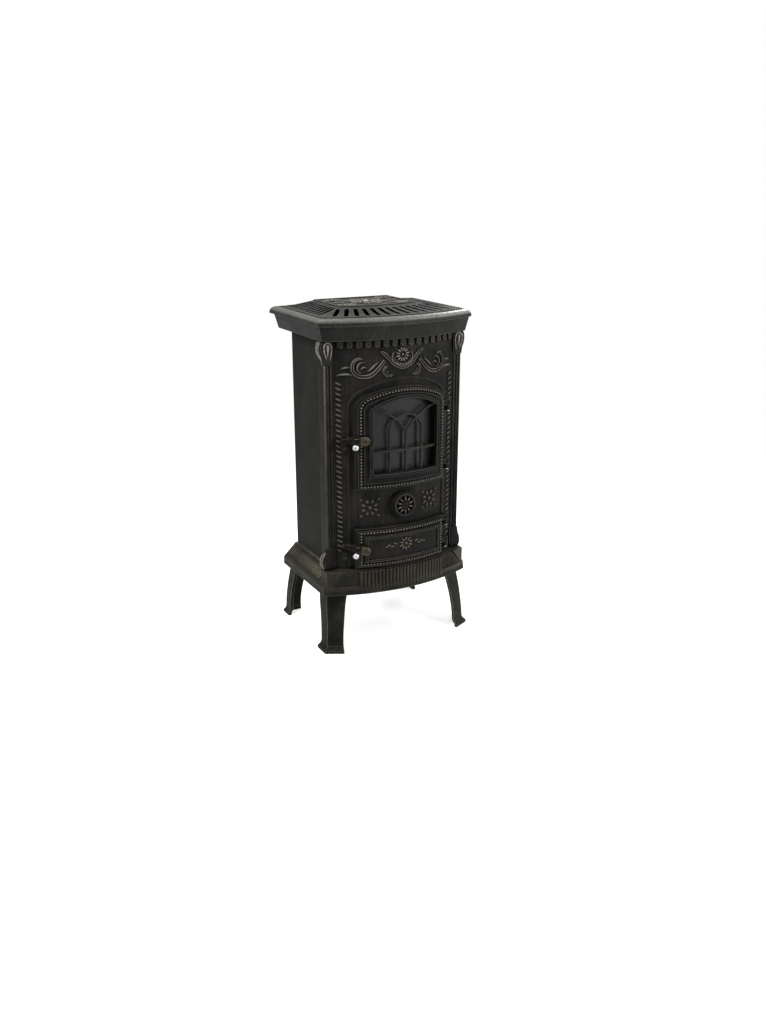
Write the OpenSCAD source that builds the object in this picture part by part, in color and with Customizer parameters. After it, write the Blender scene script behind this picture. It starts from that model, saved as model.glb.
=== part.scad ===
// Small cast-iron parlour stove with a bowed front, a glazed fire door, an ash door below it,
// four splayed legs and a lift-off pierced top. Millimetres, +Z up, the front faces -Y.
// The origin is on the floor, under the middle of the whole stove.

/* [Body] */
// Height of the base's lower edge above the floor
leg_h = 140; // [110:1:180]
// Height of the base casting
base_h = 56; // [46:1:66]
// Height of the body walls between base and top
body_h = 522; // [500:1:580]
// Width over the two side panels
body_w = 314; // [310:1:322]
// Distance from the stove's reference line back to the outer face of the rear wall
body_back = 93; // [85:1:110]
// Thickness of the cast walls
wall = 7; // [5:0.5:9]

/* [Front casting] */
// Radius of the bowed face
face_r = 316; // [300:1:340]
// Distance of the bow's axis behind the reference line
face_axis = 168; // [150:1:190]
// Half the width of the plain face between the pilasters
face_half = 152; // [151:0.5:153]
// Half the width over the pilasters
pilaster_half = 171; // [169:0.5:174]
// Depth of the pilaster's return along the side
pilaster_return = 30; // [24:1:40]
// Number of rounded tabs under the top
dentils = 15; // [9:2:19]
// Height of a tab
dentil_h = 18; // [12:1:22]
// Width of the raised arch line round the fire door
arch_line = 5; // [3:0.5:7]

/* [Top frame] */
// Height of the tapered collar
collar_h = 32; // [26:1:38]
// Height of the rounded rim
rim_h = 16; // [15:1:20]
// Half the width of the collar's lower edge
collar_half = 178.4; // [176:0.2:182]
// Half the width of the rim
rim_half = 190.5; // [188:0.5:193]
// Distance of the rim's rear edge behind the reference line
rim_back = 143; // [134:1:150]
// Distance of the collar's lower rear edge behind the reference line
collar_back = 118.7; // [116:0.1:124]
// Radius of the collar's bowed lower edge
collar_r = 406.8; // [400:0.2:414]
// Distance of that bow's axis behind the reference line
collar_axis = 246.9; // [242:0.1:252]

/* [Top cover] */
// Rise of the cover's middle above its edge
cover_rise = 10; // [6:1:16]
// Thickness of the cover
cover_t = 6; // [4:0.5:8]
// Number of slots along the front
front_slots = 13; // [7:2:13]
// Number of slots along each side
side_slots = 9; // [5:1:9]
// Width of a slot
slot_w = 10.5; // [6:0.5:11]

/* [Base] */
// Half the width of the base's lower edge
base_half = 187.5; // [184:0.5:192]
// Distance of the base's lower rear edge behind the reference line
base_back = 112; // [106:1:118]
// Radius of the base's bowed lower edge
base_r = 432; // [426:1:440]
// Distance of that bow's axis behind the reference line
base_axis = 264.7; // [262:0.1:268]
// Number of flutes on the base's front
flutes = 25; // [15:2:29]

/* [Fire door] */
// Half the width of both doors
door_half = 113; // [110:0.5:115]
// Lower edge of the fire door above the base's top
fire_door_z = 190; // [180:1:200]
// Height of the fire door at its middle
fire_door_h = 229.5; // [215:0.5:240]
// Rise of the door's arch above its straight sides
fire_door_rise = 50; // [44:1:60]
// Radius of the arch's shoulders
shoulder_r = 36; // [28:1:40]
// Half the width of the window
window_half = 80; // [72:0.5:84]
// Width of the bars across the window
bar_w = 4.5; // [3:0.5:7]
// Thickness of the glass
glass_t = 4; // [3:0.5:5]
// Diameter of the sealing rope
rope_d = 7; // [5:0.5:8]

/* [Ash door] */
// Lower edge of the ash door above the base's top
ash_door_z = 5; // [4:0.5:8]
// Height of the ash door
ash_door_h = 93; // [86:1:100]

/* [Hinges and latches] */
// Distance of the hinge pins from the middle
hinge_x = 129; // [127:0.5:131]
// Diameter of a hinge pin
hinge_pin_d = 6; // [4:0.5:7]
// Length of one hinge knuckle
knuckle_h = 12; // [9:0.5:14]
// Angle round the bow at which the latches sit
latch_angle = 16.7; // [16:0.1:17.5]
// Length of a latch arm from its pivot to its finger's middle
latch_reach = 44; // [40:0.5:46]
// Angle through which a latch drops into its keeper
latch_drop = 7; // [6:0.5:8]
// Diameter of a latch knob
knob_d = 15; // [13:0.5:18]

/* [Air control] */
// Diameter of the turning air disc
spinner_d = 60; // [50:1:66]
// Height of its middle above the base's top
spinner_z = 147; // [140:1:152]
// Number of its air ports
ports = 5; // [4:1:6]

/* [Inside] */
// Height of the grate's underside above the base's top
grate_z = 186; // [182:1:190]
// Thickness of the firebricks
brick_t = 25; // [20:1:30]
// Height of the firebricks
brick_h = 186; // [176:1:190]
// Half the width of the ash pan
pan_half = 86; // [76:0.5:88]
// Depth of the ash pan, front to back
pan_depth = 165; // [140:1:170]
// Height of the ash pan
pan_h = 50; // [40:1:56]

/* [Flue] */
// Outside diameter of the flue spigot
flue_d = 119; // [110:0.5:126]
// Length of the spigot behind its flange
flue_len = 60; // [45:1:70]
// Height of the flue's middle above the base's top
flue_z = 436; // [432:1:438]

/* [Hidden] */
$fn = 96;

iron = "#2b2a27";
iron_edge = "#4c4838";
steel = "#8d8f92";
nickel = "#c9c9c6";
brick = "#b9a98c";
rope_grey = "#55534f";

fit_gap = 0.3;        // gap between parts that are lifted or slid together
run_gap = 0.06;       // gap round a turning pin
over = 1;             // how far a cutter runs past what it cuts

deck_z = leg_h + base_h;
body_half = body_w / 2;
top_z = deck_z + body_h;
rim_z0 = top_z + collar_h;
rim_z1 = rim_z0 + rim_h;
deck_t = 8;

// How far each level of a door stands in front of the bowed face
door_back_p = 3;
door_edge_p = 13;
door_step_p = 18;
door_field_p = 22;
door_crest_p = 28;
bars_p = [16, 21];
door_step_in = 4;
door_field_in = 15;
opening_in = 17;      // the wall's opening is this much smaller all round than its door
rope_in = [7, 15];    // the rope's outer and inner edge, in from the door's edge
rope_sunk = 0.2 + rope_d;

pin_p = 10;           // how far the hinge pins stand in front of the face
pin_axis = [hinge_x, face_axis - sqrt(pow(face_r + pin_p, 2) - pow(hinge_x, 2))];
fire_z0 = deck_z + fire_door_z;
fire_z1 = fire_z0 + fire_door_h;
ash_z0 = deck_z + ash_door_z;
ash_z1 = ash_z0 + ash_door_h;
fire_hinges = [fire_z0 + fire_door_h * 0.135, fire_z0 + fire_door_h * 0.7364];
ash_hinges = [ash_z0 + 23, ash_z0 + 78];
fire_latch_z = fire_z0 + 116;
ash_latch_z = ash_z0 + 46;
ash_latch_up = 12;    // the lower latch is photographed standing higher than the upper one

knob_p = 52;
front_reach = (face_r + knob_p) * cos(latch_angle) - face_axis;
rear_reach = body_back + flue_len + 6;
y_home = (front_reach - rear_reach) / 2;

// ---------- shared shapes ----------

module home() {
  translate([0, y_home, 0])
    children();
}

// Upright wall about the face's bow axis, between two distances in front of the face
module bow_wall(p_out, p_in, z0, z1) {
  translate([0, face_axis, z0])
    difference() {
      cylinder(r = face_r + p_out, h = z1 - z0, $fn = 240);
      translate([0, 0, -over])
        cylinder(r = face_r + p_in, h = z1 - z0 + 2 * over, $fn = 240);
    }
}

// A front-view outline (x, z), cut out of the bowed wall
module on_bow(p_out, p_in, z0 = 0, z1 = 900) {
  intersection() {
    bow_wall(p_out, p_in, z0, z1);
    translate([0, -70, 0])
      rotate([90, 0, 0])
        linear_extrude(height = 160)
          children();
  }
}

module rect2(half, z0, z1) {
  translate([-half, z0])
    square([2 * half, z1 - z0]);
}

// Three-centred arch: straight sides up to z1 - rise, round shoulders, one wide arc above
module arch2(half, z0, z1, rise, r) {
  zs = z1 - rise;
  big = (pow(half - r, 2) + rise * rise - r * r) / (2 * (rise - r));
  rect2(half, z0, zs);
  for (s = [-1, 1])
    translate([s * (half - r), zs])
      circle(r = r);
  intersection() {
    translate([0, z1 - big])
      circle(r = big, $fn = 240);
    polygon([[0, z1 - big], [-(half - r) * big / (big - r), z1 - big + (zs - z1 + big) * big / (big - r)],
             [0, z1 + big], [(half - r) * big / (big - r), z1 - big + (zs - z1 + big) * big / (big - r)]]);
    rect2(half, zs, z1 + over);
  }
}

module fire_arch(inset) {
  arch2(door_half - inset, fire_z0 + inset, fire_z1 - inset, fire_door_rise - inset,
        max(shoulder_r - inset, 3));
}

module ash_outline(inset) {
  rect2(door_half - inset, ash_z0 + inset, ash_z1 - inset);
}

window_z0 = fire_z0 + 38;
window_z1 = fire_z1 - 25;
window_rise = 27;

module window_arch(grow) {
  arch2(window_half + grow, window_z0 - grow, window_z1 + grow, window_rise + grow, 4 + grow);
}

// A solid with a bowed front, straight tapered sides and a tapered rear, between two heights
module bowed_block(axis_y, r0, r1, half0, half1, back0, back1, z0, z1) {
  h = z1 - z0;
  deep = 400;
  intersection() {
    translate([0, axis_y, z0])
      cylinder(r1 = r0, r2 = r1, h = h, $fn = 240);
    translate([0, deep / 2, 0])
      rotate([90, 0, 0])
        linear_extrude(height = deep)
          polygon([[-half0, z0], [half0, z0], [half1, z1], [-half1, z1]]);
    translate([-deep / 2, 0, 0])
      rotate([90, 0, 90])
        linear_extrude(height = deep)
          polygon([[-deep, z0], [back0, z0], [back1, z1], [-deep, z1]]);
  }
}

module mirror_x() {
  children();
  mirror([1, 0, 0])
    children();
}

module hex_head(af, h) {
  cylinder(r = af / sqrt(3), h = h, $fn = 6);
}

// ---------- base and legs ----------

bolt_d = 8;
flute_r = 3.9;
base_slope_z = 18;
base_top_half = body_half + 4;

module base_flutes() {
  step = 2 * asin(base_half * 0.56 / base_r) / (flutes - 1);
  for (i = [0 : flutes - 1])
    rotate((i - (flutes - 1) / 2) * step)
      translate([0, -base_r + 3])
        circle(r = flute_r, $fn = 24);
}

module base_shell(inset) {
  low = leg_h;
  mid = leg_h + base_slope_z;
  bowed_block(base_axis, base_r - inset, base_r - 2 - inset, base_half - inset, base_half - 0.5 - inset,
              base_back - inset, base_back - inset, low - (inset > 0 ? over : 0), mid);
  bowed_block(base_axis, base_r - 2 - inset, base_r - 6 - inset, base_half - 0.5 - inset,
              base_top_half - inset, base_back - inset, body_back + 4 - inset, mid,
              deck_z - (inset > 0 ? deck_t : 0));
}

// Upright block at each front corner, standing out of the sloping sides
module base_corner(inset) {
  intersection() {
    translate([0, base_axis, leg_h])
      cylinder(r = base_r - 1 - inset, h = base_h - (inset > 0 ? deck_t : 0), $fn = 240);
    translate([body_half - 40 + inset, -200, leg_h])
      cube([base_half - 7 - body_half + 40 - 2 * inset, 200 - 96 - inset, base_h + over]);
  }
}

// Shallow panel across the front above the lower band, with slanting ends
module front_recess() {
  z0 = leg_h + 20;
  z1 = deck_z + over;
  low = base_half - 11;
  high = base_half - 40;
  difference() {
    translate([0, -100, 0])
      rotate([90, 0, 0])
        linear_extrude(height = 100)
          polygon([[-low, z0], [low, z0], [high, z1], [-high, z1]]);
    translate([0, base_axis, z0 - over])
      cylinder(r1 = base_r - 6, r2 = base_r - 10, h = z1 - z0 + 2 * over, $fn = 240);
  }
}

leg_x = base_half - 13.5;
leg_front_y = -109;
leg_back_y = base_back - 13;
leg_bolt_in = 20;     // bolt centres, in from the leg's corner along each wing

module leg_bolt_places() {
  for (sx = [-1, 1]) {
    for (y = [leg_front_y, leg_back_y]) {
      dir = y < 0 ? 1 : -1;
      translate([sx * (leg_x - leg_bolt_in), y + dir * leg_bolt_in * 0.7, 0])
        children();
      translate([sx * (leg_x - leg_bolt_in * 0.85), y + dir * leg_bolt_in * 1.9, 0])
        children();
    }
  }
}

rail_x = pan_half - 12;
rail_top = deck_z + ash_door_z + opening_in + 0.5;

module base_plate() {
  color(iron)
    home()
      difference() {
        union() {
          difference() {
            union() {
              base_shell(0);
              mirror_x()
                base_corner(0);
            }
            base_shell(wall + 3);
            mirror_x()
              base_corner(wall + 3);
            front_recess();
          }
          // flutes across the bowed front
          translate([0, base_axis, leg_h + 2])
            linear_extrude(height = base_h - 4)
              base_flutes();
          // pads that the legs bolt up against
          intersection() {
            base_shell(3);
            for (sx = [-1, 1])
              for (y = [leg_front_y, leg_back_y])
                translate([sx * (leg_x - 24) - 20, y < 0 ? y + 4 : y - 48, leg_h + 12])
                  cube([40, 44, base_h - 12]);
          }
          // rails that the ash pan slides on
          for (sx = [-1, 1])
            translate([sx * rail_x - 4, -pan_front, deck_z - over])
              cube([8, pan_depth - 10, rail_top - deck_z + over]);
        }
        leg_bolt_places()
          translate([0, 0, leg_h])
            cylinder(d = bolt_d + 0.6, h = base_h - deck_t - 4, $fn = 32);
        tie_places()
          translate([0, 0, leg_h])
            cylinder(d = tie_d + 1, h = base_h + over, $fn = 32);
        for (sx = [-1, 1])
          for (y = [tie_front_y, tie_back_y])
            translate([sx * tie_x, y, leg_h - over])
              cylinder(r = 11, h = base_h - deck_t + over, $fn = 32);
      }
}

leg_t = 8;
// Down the leg: [height, corner out in x, corner out in y, front wing, side wing]
leg_path = [[152, 0, 0, 46, 40], [133, 0, 2, 46, 40], [110, 3, 7, 43, 38], [84, 5, 13, 40, 36],
            [60, 6.5, 17, 38, 35], [38, 8, 19.5, 37, 34], [22, 8.5, 20.5, 37, 34], [15, 9.5, 21, 38, 35],
            [10, 13, 23, 41, 38], [7, 17, 25, 44, 41], [5, 18, 26, 45, 42], [0, 18, 26, 45, 42]];

// Half-space under one outline: z up, distance out of the stove sideways
module under_line(pts, deep) {
  linear_extrude(height = 2 * deep, center = true)
    polygon(concat([[-deep, 170]], pts, [[-deep, -0]]));
}

// Solid inside a leg's two outer faces, drawn in by an amount
module leg_mass(front, inset) {
  turn = front ? 27 : 0;
  x0 = leg_x;
  y0 = front ? -leg_front_y : leg_back_y;
  z_up = inset > 0 ? 12 : 0;
  kx = front ? 1 : 0.5;
  ky = front ? 1 : 1.45;
  side = [for (s = leg_path) [x0 + kx * s[1] - inset, s[0] + (s[0] > 150 ? z_up : s[0] < 1 ? -z_up : 0)]];
  face = [for (s = leg_path)
    [(x0 + kx * s[1]) * sin(turn) + (y0 + ky * s[2]) * cos(turn) - inset,
     s[0] + (s[0] > 150 ? z_up : s[0] < 1 ? -z_up : 0)]];
  intersection() {
    rotate([90, 0, 0])
      under_line(side, 400);
    rotate([0, 0, 90 - turn])
      rotate([90, 0, 0])
        under_line(face, 400);
  }
}

// A leg in the quadrant +X, +Y outwards; front legs turn their front wing along the bow
module leg(front) {
  turn = front ? 27 : 0;
  x0 = leg_x;
  y0 = front ? -leg_front_y : leg_back_y;
  kx = front ? 1 : 0.5;
  ky = front ? 1 : 1.45;
  inner_x = [for (s = leg_path) [x0 + kx * s[1] - s[3] * cos(turn), s[0]]];
  inner_y = [for (s = leg_path) [y0 + ky * s[2] - (front ? s[4] : s[4] - 8), s[0]]];
  difference() {
    union() {
      intersection() {
        difference() {
          leg_mass(front, 0);
          leg_mass(front, leg_t);
        }
        rotate([90, 0, 0])
          linear_extrude(height = 600, center = true)
            polygon(concat(inner_x, [[400, 0], [400, 152]]));
        rotate([90, 0, 90])
          linear_extrude(height = 600, center = true)
            polygon(concat(inner_y, [[400, 0], [400, 152]]));
      }
      // flange that the bolts pass through
      translate([leg_x - 44, y0 - 48, leg_h + 4])
        cube([40, 44, 8 - fit_gap]);
    }
    for (q = [[leg_bolt_in, 0.7 * leg_bolt_in], [0.85 * leg_bolt_in, 1.9 * leg_bolt_in]])
      translate([leg_x - q[0], y0 - q[1], leg_h])
        cylinder(d = bolt_d + 0.6, h = 20, $fn = 32);
  }
}

module leg_at(sx, front) {
  color(iron)
    home()
      mirror([sx < 0 ? 1 : 0, 0, 0])
        mirror([0, front ? 1 : 0, 0])
          leg(front);
}

module leg_front_left() {
  leg_at(-1, true);
}

module leg_front_right() {
  leg_at(1, true);
}

module leg_back_left() {
  leg_at(-1, false);
}

module leg_back_right() {
  leg_at(1, false);
}

module leg_bolts() {
  color(steel)
    home()
      leg_bolt_places() {
        translate([0, 0, leg_h + 4 - 5.5])
          hex_head(13, 5.5);
        translate([0, 0, leg_h + 4 - over])
          cylinder(d = bolt_d, h = 34, $fn = 32);
      }
}

// ---------- walls ----------

tie_d = 8;
tie_x = body_half - 22;
tie_front_y = -88;
tie_back_y = body_back - 22;

module tie_places() {
  for (sx = [-1, 1])
    for (y = [tie_front_y, tie_back_y])
      translate([sx * tie_x, y, 0])
        children();
}

module pilaster_plan() {
  face_y = face_axis - sqrt(face_r * face_r - face_half * face_half);
  front_y = -115;
  w = pilaster_half - face_half;
  difference() {
    translate([face_half - 3, front_y + 4])
      square([w + 3, pilaster_return - 4 + 2]);
    translate([face_half - 4, face_y + wall])
      square([body_half + fit_gap - face_half + 4, pilaster_return]);
  }
  for (f = [0.25, 0.62])
    translate([face_half + f * w, front_y + 4])
      circle(r = 2.2, $fn = 32);
  translate([pilaster_half - 3.4, front_y + 3.4])
    circle(r = 3.4, $fn = 32);
  translate([pilaster_half - 3.4, front_y + 3.4])
    square([3.4, 12]);
}

// Core of the scroll at the head of the pilasters, or upside down at their feet
module scroll_block(z, up) {
  wide = pilaster_half + 8.5;
  translate([0, 0, z])
    mirror([0, 0, up ? 0 : 1])
      difference() {
        intersection() {
          rotate([90, 0, 0])
            linear_extrude(height = 130)
              polygon([[face_half - 1, -36], [wide - 14, -36], [wide - 6, -20], [wide, -6], [wide, 6],
                       [wide - 6, 13], [face_half - 1, 13]]);
          translate([140, 0, 0])
            rotate([90, 0, 90])
              linear_extrude(height = 60)
                polygon([[-115, 6], [-115, -10], [-113, -36], [-107, -36], [-103, -24], [-97, -14], [-93, -4],
                         [-93, 6], [-97, 12], [-112, 13]]);
        }
        // the side wall passes behind
        translate([140, -102, -50])
          cube([body_half + fit_gap - 140, 60, 80]);
      }
}

module dentil_row() {
  pitch = 2 * asin(137 / face_r) / (dentils - 1);
  tab = face_r * sin(pitch) * 0.7;
  for (i = [0 : dentils - 1]) {
    a = (i - (dentils - 1) / 2) * pitch;
    translate([face_r * sin(a), 0]) {
      translate([-tab * cos(a) / 2, top_z - dentil_h + tab * 0.3])
        square([tab * cos(a), dentil_h - tab * 0.3]);
      translate([0, top_z - dentil_h + tab * 0.5])
        circle(r = tab * cos(a) / 2, $fn = 32);
    }
  }
}

// Panel-side half of a hinge: a knuckle on a web, under the door's own knuckle
module panel_knuckle(z) {
  translate([0, 0, z]) {
    difference() {
      union() {
        translate([pin_axis[0], pin_axis[1], 0])
          cylinder(r = 6.5, h = knuckle_h, $fn = 48);
        translate([pin_axis[0] - 5, pin_axis[1], 0])
          cube([10, 17, knuckle_h]);
      }
      translate([pin_axis[0], pin_axis[1], -over])
        cylinder(d = hinge_pin_d + 0.02, h = knuckle_h + 2 * over, $fn = 32);
    }
  }
}

module front_panel() {
  p_in = -wall;
  color(iron)
    home()
      difference() {
        union() {
          difference() {
            on_bow(0, p_in, deck_z, top_z)
              rect2(face_half + 1, deck_z, top_z);
            on_bow(over, p_in - over)
              fire_arch(opening_in);
            on_bow(over, p_in - over)
              ash_outline(opening_in);
          }
          mirror_x()
            translate([0, 0, deck_z])
              linear_extrude(height = body_h)
                pilaster_plan();
          mirror_x() {
            scroll_block(top_z - 16.5, true);
            scroll_block(deck_z + 16.5, false);
          }
          on_bow(4, -2)
            dentil_row();
          // raised arch line round the fire door
          on_bow(2.5, -2)
            difference() {
              arch2(door_half + 12, ash_z0, fire_z1 + 18, fire_door_rise + 16, shoulder_r + 10);
              arch2(door_half + 12 - arch_line, ash_z0 - over, fire_z1 + 18 - arch_line,
                    fire_door_rise + 16 - arch_line, shoulder_r + 10 - arch_line);
            }
          for (z = concat(fire_hinges, ash_hinges))
            panel_knuckle(z - knuckle_h - fit_gap / 2);
          // seat that the air disc turns on
          translate([0, -face_r + face_axis + 3, deck_z + spinner_z])
            rotate([90, 0, 0])
              cylinder(d = spinner_d + 2, h = 3 + spinner_seat_p, $fn = 64);
        }
        air_ports(spinner_port_turn);
        spinner_axis(-20, spinner_seat_p + over)
          cylinder(d = 8.6, h = 60, $fn = 32);
        for (z = [fire_latch_z, ash_latch_z])
          latch_frame(z)
            translate([keeper_u, 20, cup_z - 5.5])
              rotate([90, 0, 0])
                cylinder(d = 5.4, h = 60, $fn = 24);
      }
}

side_y0 = -115 + pilaster_return + 2 + fit_gap;

module side_panel(sx) {
  color(iron)
    home()
      mirror([sx < 0 ? 1 : 0, 0, 0]) {
        translate([body_half - wall, side_y0, deck_z])
          cube([wall, body_back - side_y0, body_h]);
        // tongue that laps behind the pilaster's return
        translate([body_half - wall, side_y0 - 8, deck_z])
          cube([wall, 9, body_h]);
        // ledge that carries the grate frame
        translate([body_half - wall - 8, tie_front_y + 8, deck_z + grate_z - 18])
          cube([9, tie_back_y - tie_front_y - 16, 10]);
      }
}

module side_panel_left() {
  side_panel(-1);
}

module side_panel_right() {
  side_panel(1);
}

flue_axis_z = deck_z + flue_z;
flue_bolt_r = flue_d / 2 + 15;

module flue_axis(y) {
  translate([0, y, flue_axis_z])
    rotate([-90, 0, 0])
      children();
}

module flue_bolt_places() {
  for (a = [45 : 90 : 315])
    rotate([0, 0, a])
      translate([flue_bolt_r, 0, 0])
        children();
}

module back_panel() {
  half = body_half - wall - fit_gap;
  color(iron)
    home()
      difference() {
        union() {
          translate([-half, body_back - wall, deck_z])
            cube([2 * half, wall, body_h]);
          // stiffening ribs
          for (x = [-1, 1])
            translate([x * half * 0.62 - 3, body_back - over, deck_z + 30])
              cube([6, 5, body_h * 0.5]);
          flue_axis(body_back - over)
            cylinder(d = flue_d + 46, h = 4 + over, $fn = 96);
        }
        flue_axis(body_back - wall - over)
          cylinder(d = flue_d - 9, h = wall + 8, $fn = 96);
        flue_axis(body_back - wall - over)
          flue_bolt_places()
            cylinder(d = 6.6, h = wall + 8, $fn = 24);
      }
}

tie_top = top_z + deck_t;

module tie_rods() {
  color(steel)
    home()
      tie_places()
        translate([0, 0, deck_z - deck_t - 10])
          cylinder(d = tie_d, h = tie_top + 9 - (deck_z - deck_t - 10), $fn = 32);
}

module tie_rod_nuts() {
  color(steel)
    home()
      tie_places()
        for (z = [deck_z - deck_t - 7, tie_top])
          translate([0, 0, z])
            difference() {
              hex_head(13, 7);
              translate([0, 0, -over])
                cylinder(d = tie_d + 0.04, h = 9, $fn = 32);
            }
}

// ---------- top ----------

collar_in = 7.6;      // how far the collar flares out from its foot to its neck
rim_r = 14;           // radius of the rim's rounded shoulder
cover_half = rim_half - 14.5;
cover_r = collar_r - 6.5;
cover_back = collar_back - 1;
cover_z = rim_z1 + 1;
ledge_z = cover_z - cover_t - fit_gap;
plate_z = ledge_z - 24;

// Rim: the bowed front, the sides and the rear each carry the same rounded shoulder
module rim() {
  deep = 400;
  intersection() {
    translate([0, collar_axis, rim_z0])
      rotate_extrude($fn = 240)
        rim_edge(collar_r + 11);
    translate([0, deep / 2, rim_z0])
      rotate([90, 0, 0])
        linear_extrude(height = deep)
          mirror_x()
            rim_edge(rim_half);
    translate([-deep / 2, 0, rim_z0])
      rotate([90, 0, 90])
        linear_extrude(height = deep) {
          rim_edge(rim_back);
          translate([-deep, 0])
            square([deep + 1, rim_h]);
        }
  }
}

module rim_edge(half) {
  square([half - rim_r, rim_h]);
  square([half, rim_h - rim_r]);
  intersection() {
    translate([half - rim_r, rim_h - rim_r])
      circle(r = rim_r, $fn = 48);
    translate([half - rim_r - 1, 0])
      square([rim_r + 2, rim_h + 1]);
  }
}

module top_frame() {
  flare = collar_in;
  color(iron)
    home()
      difference() {
        union() {
          bowed_block(collar_axis, collar_r, collar_r + flare, collar_half, collar_half + flare,
                      collar_back, collar_back + flare, top_z, rim_z0 + 1);
          rim();
        }
        // room for the cover, down to its ledge
        bowed_block(collar_axis, cover_r + fit_gap, cover_r + fit_gap, cover_half + fit_gap,
                    cover_half + fit_gap, cover_back + fit_gap, cover_back + fit_gap, ledge_z,
                    rim_z1 + over);
        // room for the hotplate, down to its ledge
        bowed_block(collar_axis, cover_r - 14, cover_r - 14, cover_half - 12, cover_half - 12,
                    cover_back - 10, cover_back - 10, plate_z, ledge_z + over);
        // throat over the firebox
        bowed_block(collar_axis, cover_r - 34, cover_r - 34, tie_x - 17, tie_x - 17,
                    body_back - wall - 6, body_back - wall - 6, top_z - over, plate_z + over);
        tie_places()
          translate([0, 0, top_z - over])
            cylinder(d = tie_d + 1, h = 60, $fn = 32);
        // pockets for the tie-rod nuts
        tie_places()
          translate([0, 0, tie_top])
            cylinder(r = 11, h = plate_z - tie_top + over, $fn = 32);
      }
}

lid_r = 78;

module hotplate() {
  g = fit_gap;
  color(iron)
    home()
      difference() {
        bowed_block(collar_axis, cover_r - 14 - g, cover_r - 14 - g, cover_half - 12 - g,
                    cover_half - 12 - g, cover_back - 10 - g, cover_back - 10 - g, plate_z,
                    plate_z + 7);
        translate([0, -20, plate_z - over])
          cylinder(r = lid_r - 5, h = 9, $fn = 96);
        translate([0, -20, plate_z + 3])
          cylinder(r = lid_r + g, h = 9, $fn = 96);
      }
}

module hotplate_lid() {
  color(iron)
    home()
      translate([0, -20, plate_z + 3])
        difference() {
          union() {
            cylinder(r = lid_r, h = 4, $fn = 96);
            translate([0, 0, -2.6])
              cylinder(r = lid_r - 7, h = 4, $fn = 96);
          }
          // pocket and bar for the lifting hook
          translate([-7, lid_r - 26, 1])
            cube([14, 12, 4]);
        }
}

cover_mid_half = 97;
cover_mid_r = collar_r - 107;
cover_mid_back = cover_back - 12;
cover_kink_half = 138;
cover_kink_r = collar_r - 50;
cover_kink_back = cover_back - 5;
kink_share = 0.25;

module cover_mass(drop) {
  kink_z = cover_z + kink_share * cover_rise;
  translate([0, 0, -drop]) {
    bowed_block(collar_axis, cover_r, cover_kink_r, cover_half, cover_kink_half, cover_back,
                cover_kink_back, cover_z, kink_z);
    bowed_block(collar_axis, cover_kink_r, cover_mid_r, cover_kink_half, cover_mid_half,
                cover_kink_back, cover_mid_back, kink_z, cover_z + cover_rise);
    bowed_block(collar_axis, cover_r, cover_r, cover_half, cover_half, cover_back, cover_back,
                cover_z - cover_t, cover_z);
  }
}

// A round-ended slot between two points
module slot2(a, b, w) {
  d = b - a;
  len = norm(d);
  translate(a)
    rotate(atan2(d[1], d[0]))
      polygon(concat([for (t = [-90 : 30 : 90]) [len + w / 2 * cos(t), w / 2 * sin(t)]],
                     [for (t = [90 : 30 : 270]) [w / 2 * cos(t), w / 2 * sin(t)]]));
}

// Pointed leaf between two arcs, lying along +X from r0 to r1
module leaf2(r0, r1, w) {
  half = (r1 - r0) / 2;
  big = (half * half + w * w / 4) / w;
  intersection() {
    translate([r0 + half, big - w / 2])
      circle(r = big, $fn = 48);
    translate([r0 + half, w / 2 - big])
      circle(r = big, $fn = 48);
  }
}

cover_mid_y = (collar_axis - cover_mid_r + cover_mid_back) / 2;

module cover_holes() {
  for (i = [0 : front_slots - 1]) {
    k = i - (front_slots - 1) / 2;
    xo = k * 284 / (front_slots - 1);
    xi = xo * 0.77;
    ro = cover_r - 20;
    ri = cover_r - 78;
    slot2([xo, collar_axis - sqrt(ro * ro - xo * xo)], [xi, collar_axis - sqrt(ri * ri - xi * xi)], slot_w);
  }
  for (sx = [-1, 1])
    for (j = [0 : side_slots - 1]) {
      t = j / (side_slots - 1);
      slot2([sx * (cover_half - 16), cover_back - 16 - 168 * t],
            [sx * (cover_mid_half + 14), cover_mid_back - 14 - 128 * t], slot_w);
    }
  // pierced rosette and sprays in the middle
  translate([0, cover_mid_y]) {
    for (a = [0 : 45 : 315])
      rotate(a)
        leaf2(11, 36, 12);
    for (a = [22.5 : 45 : 337.5])
      rotate(a)
        leaf2(27, 47, 9);
    for (sx = [-1, 1])
      for (sy = [-1, 1])
        translate([sx * 66, sy * 36]) {
          for (a = [20, 70, 120])
            rotate(sx * sy * a + (sx < 0 ? 180 : 0))
              leaf2(5, 24, 8);
          circle(r = 3, $fn = 24);
        }
    for (sx = [-1, 1])
      for (a = [-38, 0, 38])
        rotate(a + (sx < 0 ? 180 : 0))
          leaf2(54, 80, 9);
  }
}

module top_cover() {
  color(iron_edge)
    home()
      difference() {
        cover_mass(0);
        translate([0, 0, cover_z - cover_t - 20])
          linear_extrude(height = 60)
            cover_holes();
        intersection() {
          cover_mass(cover_t);
          bowed_block(collar_axis, cover_r - 9, cover_r - 9, cover_half - 9, cover_half - 9,
                      cover_back - 9, cover_back - 9, cover_z - 30, cover_z + 30);
        }
        bowed_block(collar_axis, cover_r - 9, cover_r - 9, cover_half - 9, cover_half - 9,
                    cover_back - 9, cover_back - 9, cover_z - 30, cover_z - cover_t + 0.01);
      }
}

// ---------- flue ----------

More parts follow.
